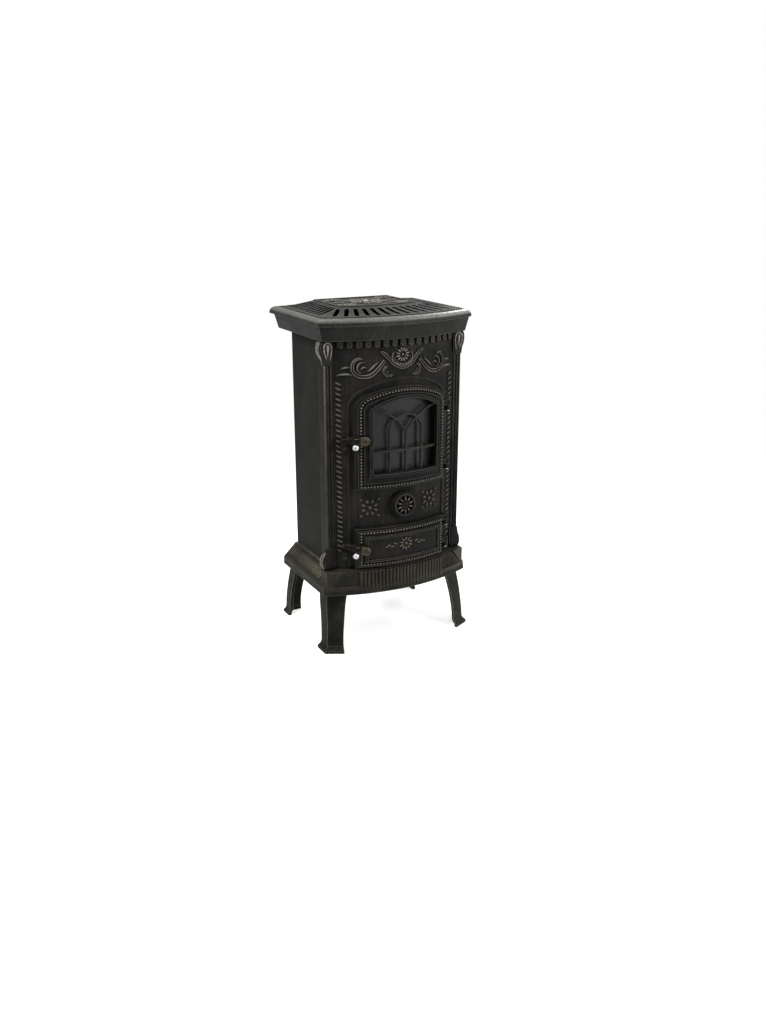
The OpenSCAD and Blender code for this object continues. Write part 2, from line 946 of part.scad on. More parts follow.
module flue_collar() {
  color(iron)
    home()
      difference() {
        union() {
          flue_axis(body_back + 5)
            cylinder(d = flue_d + 46, h = 7, $fn = 96);
          flue_axis(body_back + 5)
            cylinder(d = flue_d, h = flue_len + 1, $fn = 96);
        }
        flue_axis(body_back)
          cylinder(d = flue_d - 9, h = flue_len + 10, $fn = 96);
        flue_axis(body_back)
          flue_bolt_places()
            cylinder(d = 6.6, h = 20, $fn = 24);
      }
}

module flue_collar_gasket() {
  color(rope_grey)
    home()
      difference() {
        flue_axis(body_back + 4)
          cylinder(d = flue_d + 12, h = 1, $fn = 96);
        flue_axis(body_back)
          cylinder(d = flue_d - 6, h = 10, $fn = 96);
      }
}

module flue_collar_bolts() {
  color(steel)
    home() {
      flue_axis(body_back + 12)
        flue_bolt_places()
          hex_head(10, 4);
      flue_axis(body_back - wall - 8)
        flue_bolt_places()
          cylinder(d = 6, h = wall + 21, $fn = 24);
      flue_axis(body_back - wall - 5)
        flue_bolt_places()
          hex_head(10, 5);
    }
}

// ---------- firebox ----------

frame_z = deck_z + grate_z - 8;
frame_t = 8;
grate_half = 78;
grate_y = [-62, 58];

module inner_front(gap) {
  translate([0, face_axis, 0])
    cylinder(r = face_r - wall - gap, h = 900, $fn = 240);
}

module grate_frame() {
  half = body_half - wall - fit_gap;
  color(iron)
    home()
      difference() {
        intersection() {
          inner_front(fit_gap);
          translate([-half, -200, frame_z])
            cube([2 * half, 200 + body_back - wall - fit_gap, frame_t]);
        }
        translate([-grate_half, grate_y[0], frame_z - over])
          cube([2 * grate_half, grate_y[1] - grate_y[0], frame_t + 2 * over]);
        translate([-grate_half - 6, grate_y[0] - 6, frame_z + 3])
          cube([2 * grate_half + 12, grate_y[1] - grate_y[0] + 12, frame_t]);
        tie_places()
          cylinder(d = tie_d + 4, h = 900, $fn = 32);
        // clearance round the pilasters' inner faces
        for (sx = [-1, 1])
          translate([sx * (face_half - 3) - 6, -125, frame_z - over])
            cube([12, 125 + side_y0, frame_t + 2 * over]);
      }
}

module fire_grate() {
  half = grate_half + 5.5;
  y0 = grate_y[0] - 5.5;
  y1 = grate_y[1] + 5.5;
  bars = 9;
  color(iron)
    home()
      difference() {
        union() {
          translate([-half, y0, frame_z + 3])
            cube([2 * half, y1 - y0, 5]);
          translate([-half + 8, y0 + 8, frame_z - 4])
            cube([2 * half - 16, y1 - y0 - 16, 8]);
        }
        for (i = [0 : bars - 1])
          translate([-half + 16 + i * (2 * half - 32 - 10) / (bars - 1), y0 + 16, frame_z - 10])
            cube([10, y1 - y0 - 32, 40]);
      }
}

brick_z = frame_z + frame_t;
brick_front = -62;

module firebrick_side(sx) {
  color(brick)
    home()
      mirror([sx < 0 ? 1 : 0, 0, 0])
        translate([body_half - wall - fit_gap - brick_t, brick_front, brick_z])
          cube([brick_t, tie_back_y - 8 - brick_front, brick_h]);
}

module firebrick_left() {
  firebrick_side(-1);
}

module firebrick_right() {
  firebrick_side(1);
}

module firebrick_back() {
  half = tie_x - 8;
  y1 = body_back - wall - fit_gap;
  color(brick)
    home()
      difference() {
        translate([-half, y1 - brick_t + 8, brick_z])
          cube([2 * half, brick_t - 8, brick_h]);
        // notched round the flue and its bolts
        flue_axis(body_back - wall - brick_t - over)
          cylinder(d = flue_d + 4, h = brick_t + wall, $fn = 96);
        flue_axis(body_back - wall - brick_t - over)
          flue_bolt_places()
            cylinder(r = 9, h = brick_t + wall, $fn = 48);
      }
}

module baffle_plate() {
  half = body_half - wall - 4;
  color(iron)
    home()
      difference() {
        translate([-half, -48, brick_z + brick_h])
          cube([2 * half, 48 + body_back - wall - 12, 7]);
        tie_places()
          cylinder(d = tie_d + 6, h = 900, $fn = 32);
      }
}

module log_guard() {
  color(iron)
    home()
      difference() {
        on_bow(-wall - 3, -wall - 8, brick_z, brick_z + 38)
          rect2(100, brick_z, brick_z + 38);
        on_bow(0, -wall - 12)
          for (i = [-4 : 4])
            slot2([i * 20, brick_z + 11], [i * 20, brick_z + 27], 7);
      }
}

pan_front = 106;
pan_z = rail_top;
pan_wall = 2;

module ash_pan() {
  color(steel)
    home()
      difference() {
        translate([-pan_half, -pan_front, pan_z])
          cube([2 * pan_half, pan_depth, pan_h]);
        translate([-pan_half + pan_wall, -pan_front + pan_wall, pan_z + pan_wall])
          cube([2 * (pan_half - pan_wall), pan_depth - 2 * pan_wall, pan_h]);
      }
}

module ash_pan_handle() {
  w = 60;
  color(steel)
    home()
      difference() {
        translate([-w / 2, -pan_front - 12, pan_z + pan_h * 0.5])
          cube([w, 12, 12]);
        translate([-w / 2 + 3, -pan_front - 9, pan_z + pan_h * 0.5 - over])
          cube([w - 6, 10, 14]);
      }
}

// ---------- doors ----------

// Door-side half of a hinge: a knuckle on an arm from the door's edge
module door_knuckle(z) {
  translate([0, 0, z + fit_gap / 2]) {
    difference() {
      union() {
        translate([pin_axis[0], pin_axis[1], 0])
          cylinder(r = 6.5, h = knuckle_h, $fn = 48);
        on_bow(door_edge_p, door_back_p + 1, 0, knuckle_h)
          translate([door_half - 6, 0])
            square([hinge_x - door_half + 6, knuckle_h]);
      }
      translate([pin_axis[0], pin_axis[1], -over])
        cylinder(d = hinge_pin_d + 2 * run_gap, h = knuckle_h + 2 * over, $fn = 32);
    }
  }
}

bar_z = 49;           // height of the cross bar over the window's sill
bar_x = window_half / 2;

// Thin ring between two circles, as one line of tracery
module arc_line(c, r, w) {
  translate(c)
    difference() {
      circle(r = r + w / 2, $fn = 96);
      circle(r = r - w / 2, $fn = 96);
    }
}

// Centre of the circle through three points
function circle_centre(a, b, c) =
  let (d = 2 * (a[0] * (b[1] - c[1]) + b[0] * (c[1] - a[1]) + c[0] * (a[1] - b[1])))
  [((a * a) * (b[1] - c[1]) + (b * b) * (c[1] - a[1]) + (c * c) * (a[1] - b[1])) / d,
   ((a * a) * (c[0] - b[0]) + (b * b) * (a[0] - c[0]) + (c * c) * (b[0] - a[0])) / d];

module window_tracery() {
  z0 = window_z0;
  meet_z = z0 + 88;
  spring_z = z0 + 100;
  head_z = z0 + 130;
  corner = [-window_half, window_z1 - window_rise + 6];
  c = circle_centre(corner, [-window_half * 0.41, meet_z + 38], [0, meet_z]);
  r = norm(c - corner);
  hc_z = head_z - (bar_x * bar_x + pow(head_z - spring_z, 2)) / (2 * (head_z - spring_z));
  for (x = [-bar_x, bar_x])
    translate([x - bar_w / 2, z0 - 4])
      square([bar_w, spring_z - z0 + 6]);
  translate([-bar_w / 2, z0 - 4])
    square([bar_w, meet_z - z0 + 5]);
  translate([-window_half - 3, z0 + bar_z - bar_w * 0.6])
    square([2 * window_half + 6, bar_w * 1.2]);
  // two arcs from the upper corners, meeting on the middle bar
  mirror_x()
    intersection() {
      arc_line(c, r, bar_w);
      translate([-window_half - 3, meet_z - 1])
        square([window_half + 3.2, 200]);
    }
  // round head between the side bars
  intersection() {
    arc_line([0, hc_z], head_z - hc_z, bar_w);
    rect2(bar_x + bar_w / 2, spring_z, window_z1 + 20);
  }
}

glass_seat = door_back_p + glass_t + 1;
pocket_grow = 9;
clip_places = [[-1, window_z0 + 30], [-1, window_z0 + 110], [1, window_z0 + 30], [1, window_z0 + 110]];

module fire_door() {
  color(iron)
    home()
      difference() {
        union() {
          difference() {
            union() {
              on_bow(door_edge_p, door_back_p)
                fire_arch(0);
              on_bow(door_step_p, door_edge_p - 1)
                fire_arch(door_step_in);
              on_bow(door_field_p, door_step_p - 1)
                fire_arch(door_field_in);
              on_bow(door_crest_p, door_field_p - 1)
                window_arch(8);
            }
            on_bow(door_crest_p + over, door_back_p - over)
              window_arch(0);
            on_bow(glass_seat, door_back_p - over)
              window_arch(pocket_grow);
          }
          on_bow(bars_p[1], bars_p[0])
            intersection() {
              window_tracery();
              window_arch(2);
            }
          for (z = fire_hinges)
            door_knuckle(z);
        }
        // groove for the rope
        on_bow(rope_sunk, door_back_p - over)
          difference() {
            fire_arch(rope_in[0] - 0.2);
            fire_arch(rope_in[1] + 0.2);
          }
        clip_frame()
          translate([0, 0, -1])
            cylinder(d = 4.05, h = 10, $fn = 24);
        latch_frame(fire_latch_z)
          latch_bore();
      }
}

// Runs its children at each glass clip's screw, along the door's local normal from its back face
module clip_frame() {
  for (c = clip_places) {
    a = c[0] * asin((window_half + 12.5) / face_r);
    translate([(face_r + door_back_p) * sin(a), face_axis - (face_r + door_back_p) * cos(a), c[1]])
      rotate([0, 0, a])
        rotate([90, 0, 0])
          children();
  }
}

module window_glass() {
  color("#3a3a36", 0.5)
    home()
      on_bow(door_back_p + glass_t, door_back_p)
        window_arch(pocket_grow - 1);
}

module window_gasket() {
  color(rope_grey)
    home()
      on_bow(glass_seat, door_back_p + glass_t)
        difference() {
          window_arch(pocket_grow - 1);
          window_arch(2);
        }
}

module glass_clips() {
  color(steel)
    home()
      difference() {
        for (c = clip_places)
          on_bow(door_back_p, door_back_p - 2.5)
            translate([c[0] * (window_half + 8) - 7.4, c[1] - 7])
              square([14.8, 14]);
        clip_frame()
          translate([0, 0, -5])
            cylinder(d = 4.6, h = 10, $fn = 24);
      }
}

module glass_clip_screws() {
  color(steel)
    home()
      clip_frame() {
        translate([0, 0, -4.9])
          cylinder(d = 7, h = 2.3, $fn = 24);
        translate([0, 0, -3])
          cylinder(d = 4, h = 11, $fn = 24);
      }
}

module fire_door_rope() {
  color(rope_grey)
    home()
      on_bow(rope_sunk - 0.2, 0.3)
        difference() {
          fire_arch(rope_in[0]);
          fire_arch(rope_in[1]);
        }
}

module ash_door() {
  color(iron)
    home()
      difference() {
        union() {
          on_bow(door_edge_p, door_back_p)
            ash_outline(0);
          on_bow(door_step_p, door_edge_p - 1)
            ash_outline(door_step_in);
          on_bow(door_field_p, door_step_p - 1)
            ash_outline(door_field_in);
          on_bow(door_field_p + 3, door_field_p - 1)
            difference() {
              ash_outline(door_field_in + 2);
              ash_outline(door_field_in + 7);
              // room for the latch's root plate
              translate([-(face_r + door_field_p) * sin(latch_angle), ash_latch_z])
                circle(r = 11.5, $fn = 48);
            }
          for (z = ash_hinges)
            door_knuckle(z);
        }
        // hollow behind the raised field
        on_bow(door_field_p - wall, door_back_p - over)
          ash_outline(door_field_in + 6);
        on_bow(rope_sunk, door_back_p - over)
          difference() {
            ash_outline(rope_in[0] - 0.2);
            ash_outline(rope_in[1] + 0.2);
          }
        latch_frame(ash_latch_z)
          latch_bore();
      }
}

module ash_door_rope() {
  color(rope_grey)
    home()
      on_bow(rope_sunk - 0.2, 0.3)
        difference() {
          ash_outline(rope_in[0]);
          ash_outline(rope_in[1]);
        }
}

module hinge_pins(zs) {
  color(steel)
    home()
      for (z = zs)
        translate([pin_axis[0], pin_axis[1], z - knuckle_h - 3]) {
          cylinder(d = hinge_pin_d, h = 2 * knuckle_h + 3, $fn = 32);
          translate([0, 0, 3 - 2 - fit_gap / 2])
            cylinder(d = hinge_pin_d + 3, h = 2, $fn = 32);
        }
}

module fire_hinge_pins() {
  hinge_pins(fire_hinges);
}

module ash_hinge_pins() {
  hinge_pins(ash_hinges);
}

// ---------- latches ----------

// Local frame on the bow: +X runs along the face towards the pivot's left, -Y stands out of the face
module latch_frame(z) {
  translate([-face_r * sin(latch_angle), face_axis - face_r * cos(latch_angle), z])
    rotate([0, 0, -latch_angle])
      children();
}

latch_p = door_field_p + 0.6;
latch_t = 7;
finger_p = 9;
finger_t = 7;
finger_h = 8;
latch_pin_d = 6;
keeper_u = -latch_reach - 1;
cup_z = -(latch_reach + 6) * sin(latch_drop) - finger_h / 2 - 0.4;

module latch_bore() {
  rotate([90, 0, 0])
    translate([0, 0, door_back_p + 8])
      cylinder(d = latch_pin_d + 0.02, h = 40, $fn = 32);
}

// Swinging arm: boss on the door, step down past the door's edge, finger over the keeper
module latch_arm(z, up) {
  color(iron_edge)
    home()
      latch_frame(z)
        rotate([0, up, 0])
          difference() {
            union() {
              translate([0, -latch_p, 0])
                rotate([90, 0, 0])
                  linear_extrude(height = latch_t) {
                    circle(r = 9.2, $fn = 64);
                    translate([-11, -9.2])
                      square([11, 18.4]);
                  }
              // arm, seen from above
              translate([0, 0, -6])
                linear_extrude(height = 12)
                  polygon([[-8, -latch_p - latch_t + 1], [-24, -latch_p - latch_t + 3], [-36, -finger_p - finger_t],
                           [-36, -finger_p], [-28, -finger_p - 3], [-21.5, -latch_p], [-8, -latch_p]]);
              translate([-latch_reach - 6, -finger_p - finger_t, -finger_h / 2])
                cube([latch_reach - 28, finger_t, finger_h]);
              // stem of the knob
              knob_frame()
                cylinder(r1 = 6, r2 = 3.6, h = knob_stem, $fn = 32);
            }
            translate([0, -latch_p + over, 0])
              rotate([90, 0, 0])
                cylinder(d = latch_pin_d + 2 * run_gap, h = latch_t + 2 * over, $fn = 32);
          }
}

knob_u = -24;
knob_hang = 16;
knob_stem = 19;

module knob_frame() {
  translate([knob_u, -latch_p - 2, -1])
    rotate([90 + knob_hang, 0, 0])
      children();
}

module latch_knob(z, up) {
  r = knob_d / 2;
  color(nickel)
    home()
      latch_frame(z)
        rotate([0, up, 0])
          knob_frame()
            translate([0, 0, knob_stem])
              rotate_extrude($fn = 64)
                polygon(concat([[0, 0], [4.6, 0]],
                  [for (a = [-50 : 10 : 80]) [r * cos(a), r * 0.8 + r * 0.92 * sin(a)]],
                  [[0, r * 1.72]]));
}

module latch_bolt(z) {
  color(steel)
    home()
      latch_frame(z)
        rotate([90, 0, 0]) {
          translate([0, 0, door_back_p + 9])
            cylinder(d = latch_pin_d, h = latch_p + latch_t - door_back_p - 9 + fit_gap + 1, $fn = 32);
          translate([0, 0, latch_p + latch_t + fit_gap])
            cylinder(d = 11, h = 2.5, $fn = 48);
        }
}

module fire_latch() {
  latch_arm(fire_latch_z, 0);
}

module ash_latch() {
  latch_arm(ash_latch_z, ash_latch_up);
}

module fire_latch_knob() {
  latch_knob(fire_latch_z, 0);
}

module ash_latch_knob() {
  latch_knob(ash_latch_z, ash_latch_up);
}

module fire_latch_bolt() {
  latch_bolt(fire_latch_z);
}

module ash_latch_bolt() {
  latch_bolt(ash_latch_z);
}

// Keeper: a cup open at the top, whose front lip holds the dropped finger
module latch_keepers() {
  back_p = -8;
  front_p = finger_p + finger_t + 4.5;
  lip = -cup_z - finger_h / 2 - 1.2;
  color(iron_edge)
    home()
      for (z = [fire_latch_z, ash_latch_z])
        latch_frame(z)
          difference() {
            translate([keeper_u, -back_p, cup_z])
              rotate([90, 0, 0])
                linear_extrude(height = front_p - back_p) {
                  translate([-5, -6])
                    square([10, 6 + lip]);
                  translate([0, -6])
                    circle(r = 5, $fn = 48);
                }
            translate([keeper_u - 6, -finger_p - finger_t - 1, cup_z])
              cube([12, finger_t + 2, 20]);
            translate([keeper_u, 20, cup_z - 5.5])
              rotate([90, 0, 0])
                cylinder(d = 5.02, h = 80, $fn = 24);
            // seat on the bowed face
            translate([0, face_r, -50])
              cylinder(r = face_r + 0.15, h = 100, $fn = 240);
          }
}

module keeper_screws() {
  color(steel)
    home()
      for (z = [fire_latch_z, ash_latch_z])
        latch_frame(z)
          translate([keeper_u, 0, cup_z - 5.5])
            rotate([90, 0, 0]) {
              translate([0, 0, -wall - 10])
                cylinder(d = 5, h = wall + 10 + finger_p + finger_t + 4.5, $fn = 24);
              translate([0, 0, -wall - 8.3])
                hex_head(8, 4);
            }
}

// ---------- air control ----------

spinner_seat_p = 5;
spinner_p = [5.4, 16];
spinner_port_turn = 0;

module spinner_axis(p_from, p_to) {
  translate([0, face_axis - face_r - p_from, deck_z + spinner_z])
    rotate([90, 0, 0])
      children();
}

module air_ports(turn) {
  for (i = [0 : ports - 1])
    spinner_axis(-20, 0)
      rotate([0, 0, i * 360 / ports + turn])
        translate([spinner_d * 0.31, 0, 0])
          cylinder(d = spinner_d * 0.15, h = 60, $fn = 32);
}

module air_spinner() {
  petals = 2 * ports;
  color(iron_edge)
    home()
      difference() {
        union() {
          spinner_axis(spinner_p[0], 0)
            cylinder(d = spinner_d, h = spinner_p[1] - spinner_p[0] - 2, $fn = 96);
          spinner_axis(spinner_p[0], 0)
            difference() {
              cylinder(d = spinner_d - 4, h = spinner_p[1] - spinner_p[0], $fn = 96);
              translate([0, 0, spinner_p[1] - spinner_p[0] - 2])
                cylinder(d = spinner_d - 11, h = 5, $fn = 96);
            }
          spinner_axis(spinner_p[0] + 2, 0)
            linear_extrude(height = spinner_p[1] - spinner_p[0] + 0.5)
              for (i = [0 : petals - 1])
                rotate((i + 0.5) * 360 / petals)
                  leaf2(8, spinner_d * 0.42, 6);
          spinner_axis(spinner_p[0] + 2, 0)
            cylinder(d = 15, h = spinner_p[1] - spinner_p[0] - 1, $fn = 48);
        }
        air_ports(360 / petals);
        spinner_axis(0, 0)
          cylinder(d = 8 + 2 * run_gap, h = 60, $fn = 48);
      }
}

module spinner_bolt() {
  color(steel)
    home() {
      spinner_axis(-wall - 12, 0)
        cylinder(d = 8, h = wall + 12 + spinner_p[1] + 2.5, $fn = 48);
      spinner_axis(spinner_p[1] + 1 + fit_gap, 0)
        cylinder(d = 12, h = 2.5, $fn = 48);
    }
}

module spinner_nut() {
  color(steel)
    home()
      difference() {
        spinner_axis(-wall - 8, 0)
          hex_head(13, 7);
        spinner_axis(-wall - 9, 0)
          cylinder(d = 8.04, h = 9, $fn = 48);
      }
}

base_plate();
leg_front_left();
leg_front_right();
leg_back_left();
leg_back_right();
leg_bolts();
front_panel();
side_panel_left();
side_panel_right();
back_panel();
tie_rods();
tie_rod_nuts();
top_frame();
hotplate();
hotplate_lid();
top_cover();
flue_collar();
flue_collar_bolts();
flue_collar_gasket();
grate_frame();
fire_grate();
log_guard();
firebrick_left();
firebrick_right();
firebrick_back();
baffle_plate();
ash_pan();
ash_pan_handle();
fire_door();
window_glass();
window_gasket();
glass_clips();
glass_clip_screws();
fire_door_rope();
fire_hinge_pins();
fire_latch();
fire_latch_bolt();
fire_latch_knob();
ash_door();
ash_door_rope();
ash_hinge_pins();
ash_latch();
ash_latch_bolt();
ash_latch_knob();
latch_keepers();
keeper_screws();
air_spinner();
spinner_bolt();
spinner_nut();
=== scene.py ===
"""Looks of a small cast-iron parlour stove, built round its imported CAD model.

Each relief that the castings carry is modelled on a drawing board, in
millimetres: X runs along the face, Y runs up it and Z stands out of it. It is
then laid on the bowed face, a door, the base or the cover, in metres.
"""
import logging
import math
from contextlib import contextmanager
from dataclasses import dataclass, field
from enum import Enum
from typing import Callable, Iterator, Protocol, Sequence

import bmesh
import bpy
from mathutils import Euler, Matrix, Vector


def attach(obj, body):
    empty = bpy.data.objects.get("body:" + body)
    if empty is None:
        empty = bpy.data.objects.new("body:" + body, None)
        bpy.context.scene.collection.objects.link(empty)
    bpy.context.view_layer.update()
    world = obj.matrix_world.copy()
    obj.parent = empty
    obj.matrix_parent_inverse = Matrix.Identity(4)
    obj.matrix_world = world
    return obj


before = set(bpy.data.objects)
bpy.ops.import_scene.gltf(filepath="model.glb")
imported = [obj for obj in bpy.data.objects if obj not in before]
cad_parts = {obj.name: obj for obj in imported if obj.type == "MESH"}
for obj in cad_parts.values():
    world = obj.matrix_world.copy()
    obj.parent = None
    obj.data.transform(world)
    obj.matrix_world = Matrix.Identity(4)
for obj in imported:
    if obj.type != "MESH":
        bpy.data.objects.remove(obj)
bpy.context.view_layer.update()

MM = 0.001
HOME = 12.7393  # the stove's reference line lies this far behind the shared frame's middle
FACE_RADIUS = 316.0  # of the bowed front's bare face
FACE_AXIS = 168.0 + HOME  # distance of its axis behind the shared frame's middle
TOP_Z = 718.0  # head of the body, under the top frame
DECK_Z = 196.0  # foot of the body, on the base
ACROSS, DEPTH, UP = Vector((1, 0, 0)), Vector((0, 1, 0)), Vector((0, 0, 1))
MIRROR = Matrix.Scale(-1, 4, ACROSS)
BOTH_HALVES = (Matrix.Identity(4), MIRROR)
GILT_AND_LIGHT = "gilt_and_painted_light"  # the point attribute that says how much bronze the brush left, with the painted light and shade laid on it
BRUSH_FROM, BRUSH_FULL = 0.35, 0.95  # shares of a relief's rise between which its bronze comes in
UNDERSIDE_SHADE = 0.45  # share of its bronze that a face keeps when it looks down: painted shade
TOP_LIGHT_SLOPE = 0.45  # upward part of a normal from which a face keeps all its bronze, free of that painted shade

log = logging.getLogger("parlour_stove")

Flat = tuple[float, float]
Shape = bpy.types.Object


# ---------------------------------------------------------------- bench work


def deselect() -> None:
    """Deselects every object."""
    bpy.ops.object.select_all(action="DESELECT")


def take(piece: Shape) -> None:
    """Selects one object alone and makes it the active one.

    Args:
        piece: The object.
    """
    deselect()
    piece.select_set(True)
    bpy.context.view_layer.objects.active = piece


@contextmanager
def editing(piece: Shape) -> Iterator[bmesh.types.BMesh]:
    """Opens a piece in edit mode with nothing selected.

    Args:
        piece: The object to edit.

    Returns:
        Its edit mesh, for choosing what the next operator acts on.
    """
    take(piece)
    bpy.ops.object.mode_set(mode="EDIT")
    bpy.ops.mesh.select_mode(type="VERT")
    bpy.ops.mesh.select_all(action="DESELECT")
    try:
        yield bmesh.from_edit_mesh(piece.data)
    finally:
        bpy.ops.object.mode_set(mode="OBJECT")


def pick_faces(mesh: bmesh.types.BMesh, test: Callable[[bmesh.types.BMFace], bool]) -> None:
    """Selects only the faces that pass a test.

    Args:
        mesh: The edit mesh.
        test: Says yes for a face that is wanted.
    """
    for face in mesh.faces:
        face.select_set(False)
    for face in mesh.faces:
        if test(face):
            face.select_set(True)
    mesh.select_flush_mode()


def put_right(piece: Shape) -> None:
    """Merges doubles and turns every face outwards.

    Args:
        piece: The object to mend.
    """
    with editing(piece):
        bpy.ops.mesh.select_all(action="SELECT")
        bpy.ops.mesh.remove_doubles(threshold=1e-5)
        bpy.ops.mesh.normals_make_consistent(inside=False)


def fade(value: float, start: float, end: float, least: float = 0.0) -> float:
    """Shares out an effect that comes in over a range.

    Args:
        value: The value looked at.
        start: Where the effect is least.
        end: Where it is full; this may be below the start.
        least: The share before the start.

    Returns:
        The share, from least to 1.
    """
    return least + (1 - least) * min(1.0, max(0.0, (value - start) / (end - start)))


def straight(start: Flat, end: Flat, steps: int) -> list[Flat]:
    """Returns points evenly along a straight line, with both its ends."""
    (x0, y0), (x1, y1) = start, end
    return [(x0 + (x1 - x0) * k / steps, y0 + (y1 - y0) * k / steps) for k in range(steps + 1)]


def arc(middle: Flat, radius: float, start: float, end: float, steps: int) -> list[Flat]:
    """Draws a part of a circle.

    Args:
        middle: The circle's middle.
        radius: Its radius.
        start: The first angle, in radians.
        end: The last one.
        steps: Number of steps between them.

    Returns:
        Its points, with both ends.
    """
    turns = (start + (end - start) * k / steps for k in range(steps + 1))
    return [(middle[0] + radius * math.cos(t), middle[1] + radius * math.sin(t)) for t in turns]


def circle(radius: float, count: int, middle: Flat = (0.0, 0.0)) -> list[Flat]:
    """Returns points evenly round a circle, anticlockwise from its right."""
    return arc(middle, radius, 0.0, 2 * math.pi, count)[:-1]


def squarish(turn: float, power: float) -> Flat:
    """Returns the point at a turn round a rounded square; a power of 1 makes it a circle."""
    x, y = (math.copysign(abs(f) ** power, f) for f in (math.cos(turn), math.sin(turn)))
    return x, y


def mound(outline: Sequence[Flat], steps: Sequence[tuple[float, float]], sunk: float = 1.0) -> Shape:
    """Raises a rounded mound from a convex outline, as a leaf, petal or boss.

    Args:
        outline: The foot's points, anticlockwise.
        steps: Height above the board and share of the foot's size, going up.
        sunk: How far the foot stands below the board.

    Returns:
        The mound, standing on the board.
    """
    bpy.ops.mesh.primitive_circle_add(vertices=len(outline), radius=1, fill_type="NGON")
    piece = bpy.context.object
    for vertex, (x, y) in zip(piece.data.vertices, outline):
        vertex.co = (x, y, -sunk)
    middle = sum((Vector(point) for point in outline), Vector((0, 0))) / len(outline)
    below, wide = -sunk, 1.0
    with editing(piece) as mesh:
        pick_faces(mesh, lambda face: True)
        for height, share in steps:
            bpy.ops.mesh.extrude_region_move(TRANSFORM_OT_translate={"value": (0, 0, height - below)})
            factor = share / wide
            bpy.ops.transform.resize(value=(factor, factor, 1), center_override=(*middle, height))
            below, wide = height, share
    put_right(piece)
    return piece


DOME = ((0.0, 1.0), (0.45, 0.9), (0.78, 0.68), (0.95, 0.38), (1.0, 0.12))
ROOT_TAPER, TIP_TAPER = 0.75, 0.5  # how fast a leaf narrows from its belly to its root and its tip
BLUNT = 0.62  # the power that squares a rope stroke's ends


def dome_steps(height: float) -> list[tuple[float, float]]:
    """Returns the steps of a rounded rise to a height."""
    return [(height * up, share) for up, share in DOME]


def leaf(length: float, width: float, height: float, root: float = 0.0, sides: int = 16,
         belly: float = 0.45) -> Shape:
    """Models one leaf or petal along +X.

    Args:
        length: Its length.
        width: Its greatest width.
        height: Its rise.
        root: Distance of its root from the board's middle.
        sides: Number of points round it.
        belly: Where it is widest, from 0 at its root to 1 at its tip.

    Returns:
        The leaf.
    """
    outline = []
    for k in range(sides):
        turn = 2 * math.pi * k / sides
        along = 0.5 + 0.5 * math.cos(turn)
        if belly > 0.5:
            taper = 1.0 - ROOT_TAPER * max(0.0, belly - along)
        else:
            taper = 1.0 - TIP_TAPER * max(0.0, along - belly)
        outline.append((root + length * along, 0.5 * width * math.sin(turn) * taper))
    return mound(outline, dome_steps(height))


def stroke(length: float, width: float, height: float, sides: int = 14) -> Shape:
    """Models one blunt rope stroke about the board's middle, along X.

    Args:
        length: Its length.
        width: Its width.
        height: Its rise.
        sides: Number of points round it.

    Returns:
        The stroke.
    """
    outline = []
    for k in range(sides):
        x, y = squarish(2 * math.pi * (k + 0.5) / sides, BLUNT)
        outline.append((0.5 * length * x, 0.5 * width * y))
    return mound(outline, dome_steps(height))


def boss(radius: float, height: float, sides: int) -> Shape:
    """Returns a round domed boss at the board's middle."""
    return mound(circle(radius, sides), dome_steps(height))


def bead(radius: float, sunk: float = 0.45) -> Shape:
    """Models one round bead, cut off below the board and closed there.

    Args:
        radius: Its radius.
        sunk: How far it reaches below the board, as a share of its radius.

    Returns:
        The bead.
    """
    bpy.ops.mesh.primitive_uv_sphere_add(segments=10, ring_count=6, radius=radius)
    piece = bpy.context.object
    with editing(piece):
        bpy.ops.mesh.select_all(action="SELECT")
        bpy.ops.mesh.bisect(
            plane_co=(0, 0, -sunk * radius), plane_no=(0, 0, 1), use_fill=True, clear_inner=True
        )
    put_right(piece)
    return piece


def ridge(points: Sequence[Sequence[float]], widths: Sequence[float] | float, flat: float = 1.0,
          closed: bool = False, sides: int = 3, lift: float = 0.0) -> Shape:
    """Sweeps a rounded ridge along a line.

    Args:
        points: The line's points on the board, with or without a height.
        widths: The ridge's half width at each point, or one for all.
        flat: Height of the ridge as a share of its half width.
        closed: Whether the line joins up with itself.
        sides: Smoothness of the ridge's section.
        lift: Height of the line where its points give none.

    Returns:
        The ridge as a mesh.
    """
    bpy.ops.curve.primitive_bezier_curve_add()
    piece = bpy.context.object
    curve = piece.data
    curve.splines.clear()
    spline = curve.splines.new("POLY")
    spline.points.add(len(points) - 1)
    for k, point in enumerate(points):
        height = point[2] if len(point) > 2 else lift
        spline.points[k].co = (point[0], point[1], height / flat, 1)
        spline.points[k].radius = widths if isinstance(widths, float) else widths[k]
    spline.use_cyclic_u = closed
    curve.dimensions = "3D"
    curve.twist_mode = "Z_UP"
    curve.bevel_depth = 1.0
    curve.bevel_resolution = sides
    curve.use_fill_caps = True
    take(piece)
    bpy.ops.object.convert(target="MESH")
    piece = bpy.context.object
    with editing(piece):
        bpy.ops.mesh.select_all(action="SELECT")
        bpy.ops.transform.resize(value=(1, 1, flat), center_override=(0, 0, 0))
    put_right(piece)
    return piece


def smooth_line(knots: Sequence[Sequence[float]], each: int) -> list[list[float]]:
    """Runs a smooth line through knots.

    Args:
        knots: Points, each with as many numbers as the first.
        each: Points made between two knots.

    Returns:
        The line's points.
    """
    line = []
    for near in zip([knots[0], *knots], knots, knots[1:], [*knots[2:], knots[-1]]):
        for step in range(each):
            t = step / each
            line.append([
                0.5 * (2 * b + (c - a) * t + (2 * a - 5 * b + 4 * c - d) * t * t
                       + (3 * b - a - 3 * c + d) * t ** 3)
                for a, b, c, d in zip(*near)
            ])
    return line + [list(knots[-1])]


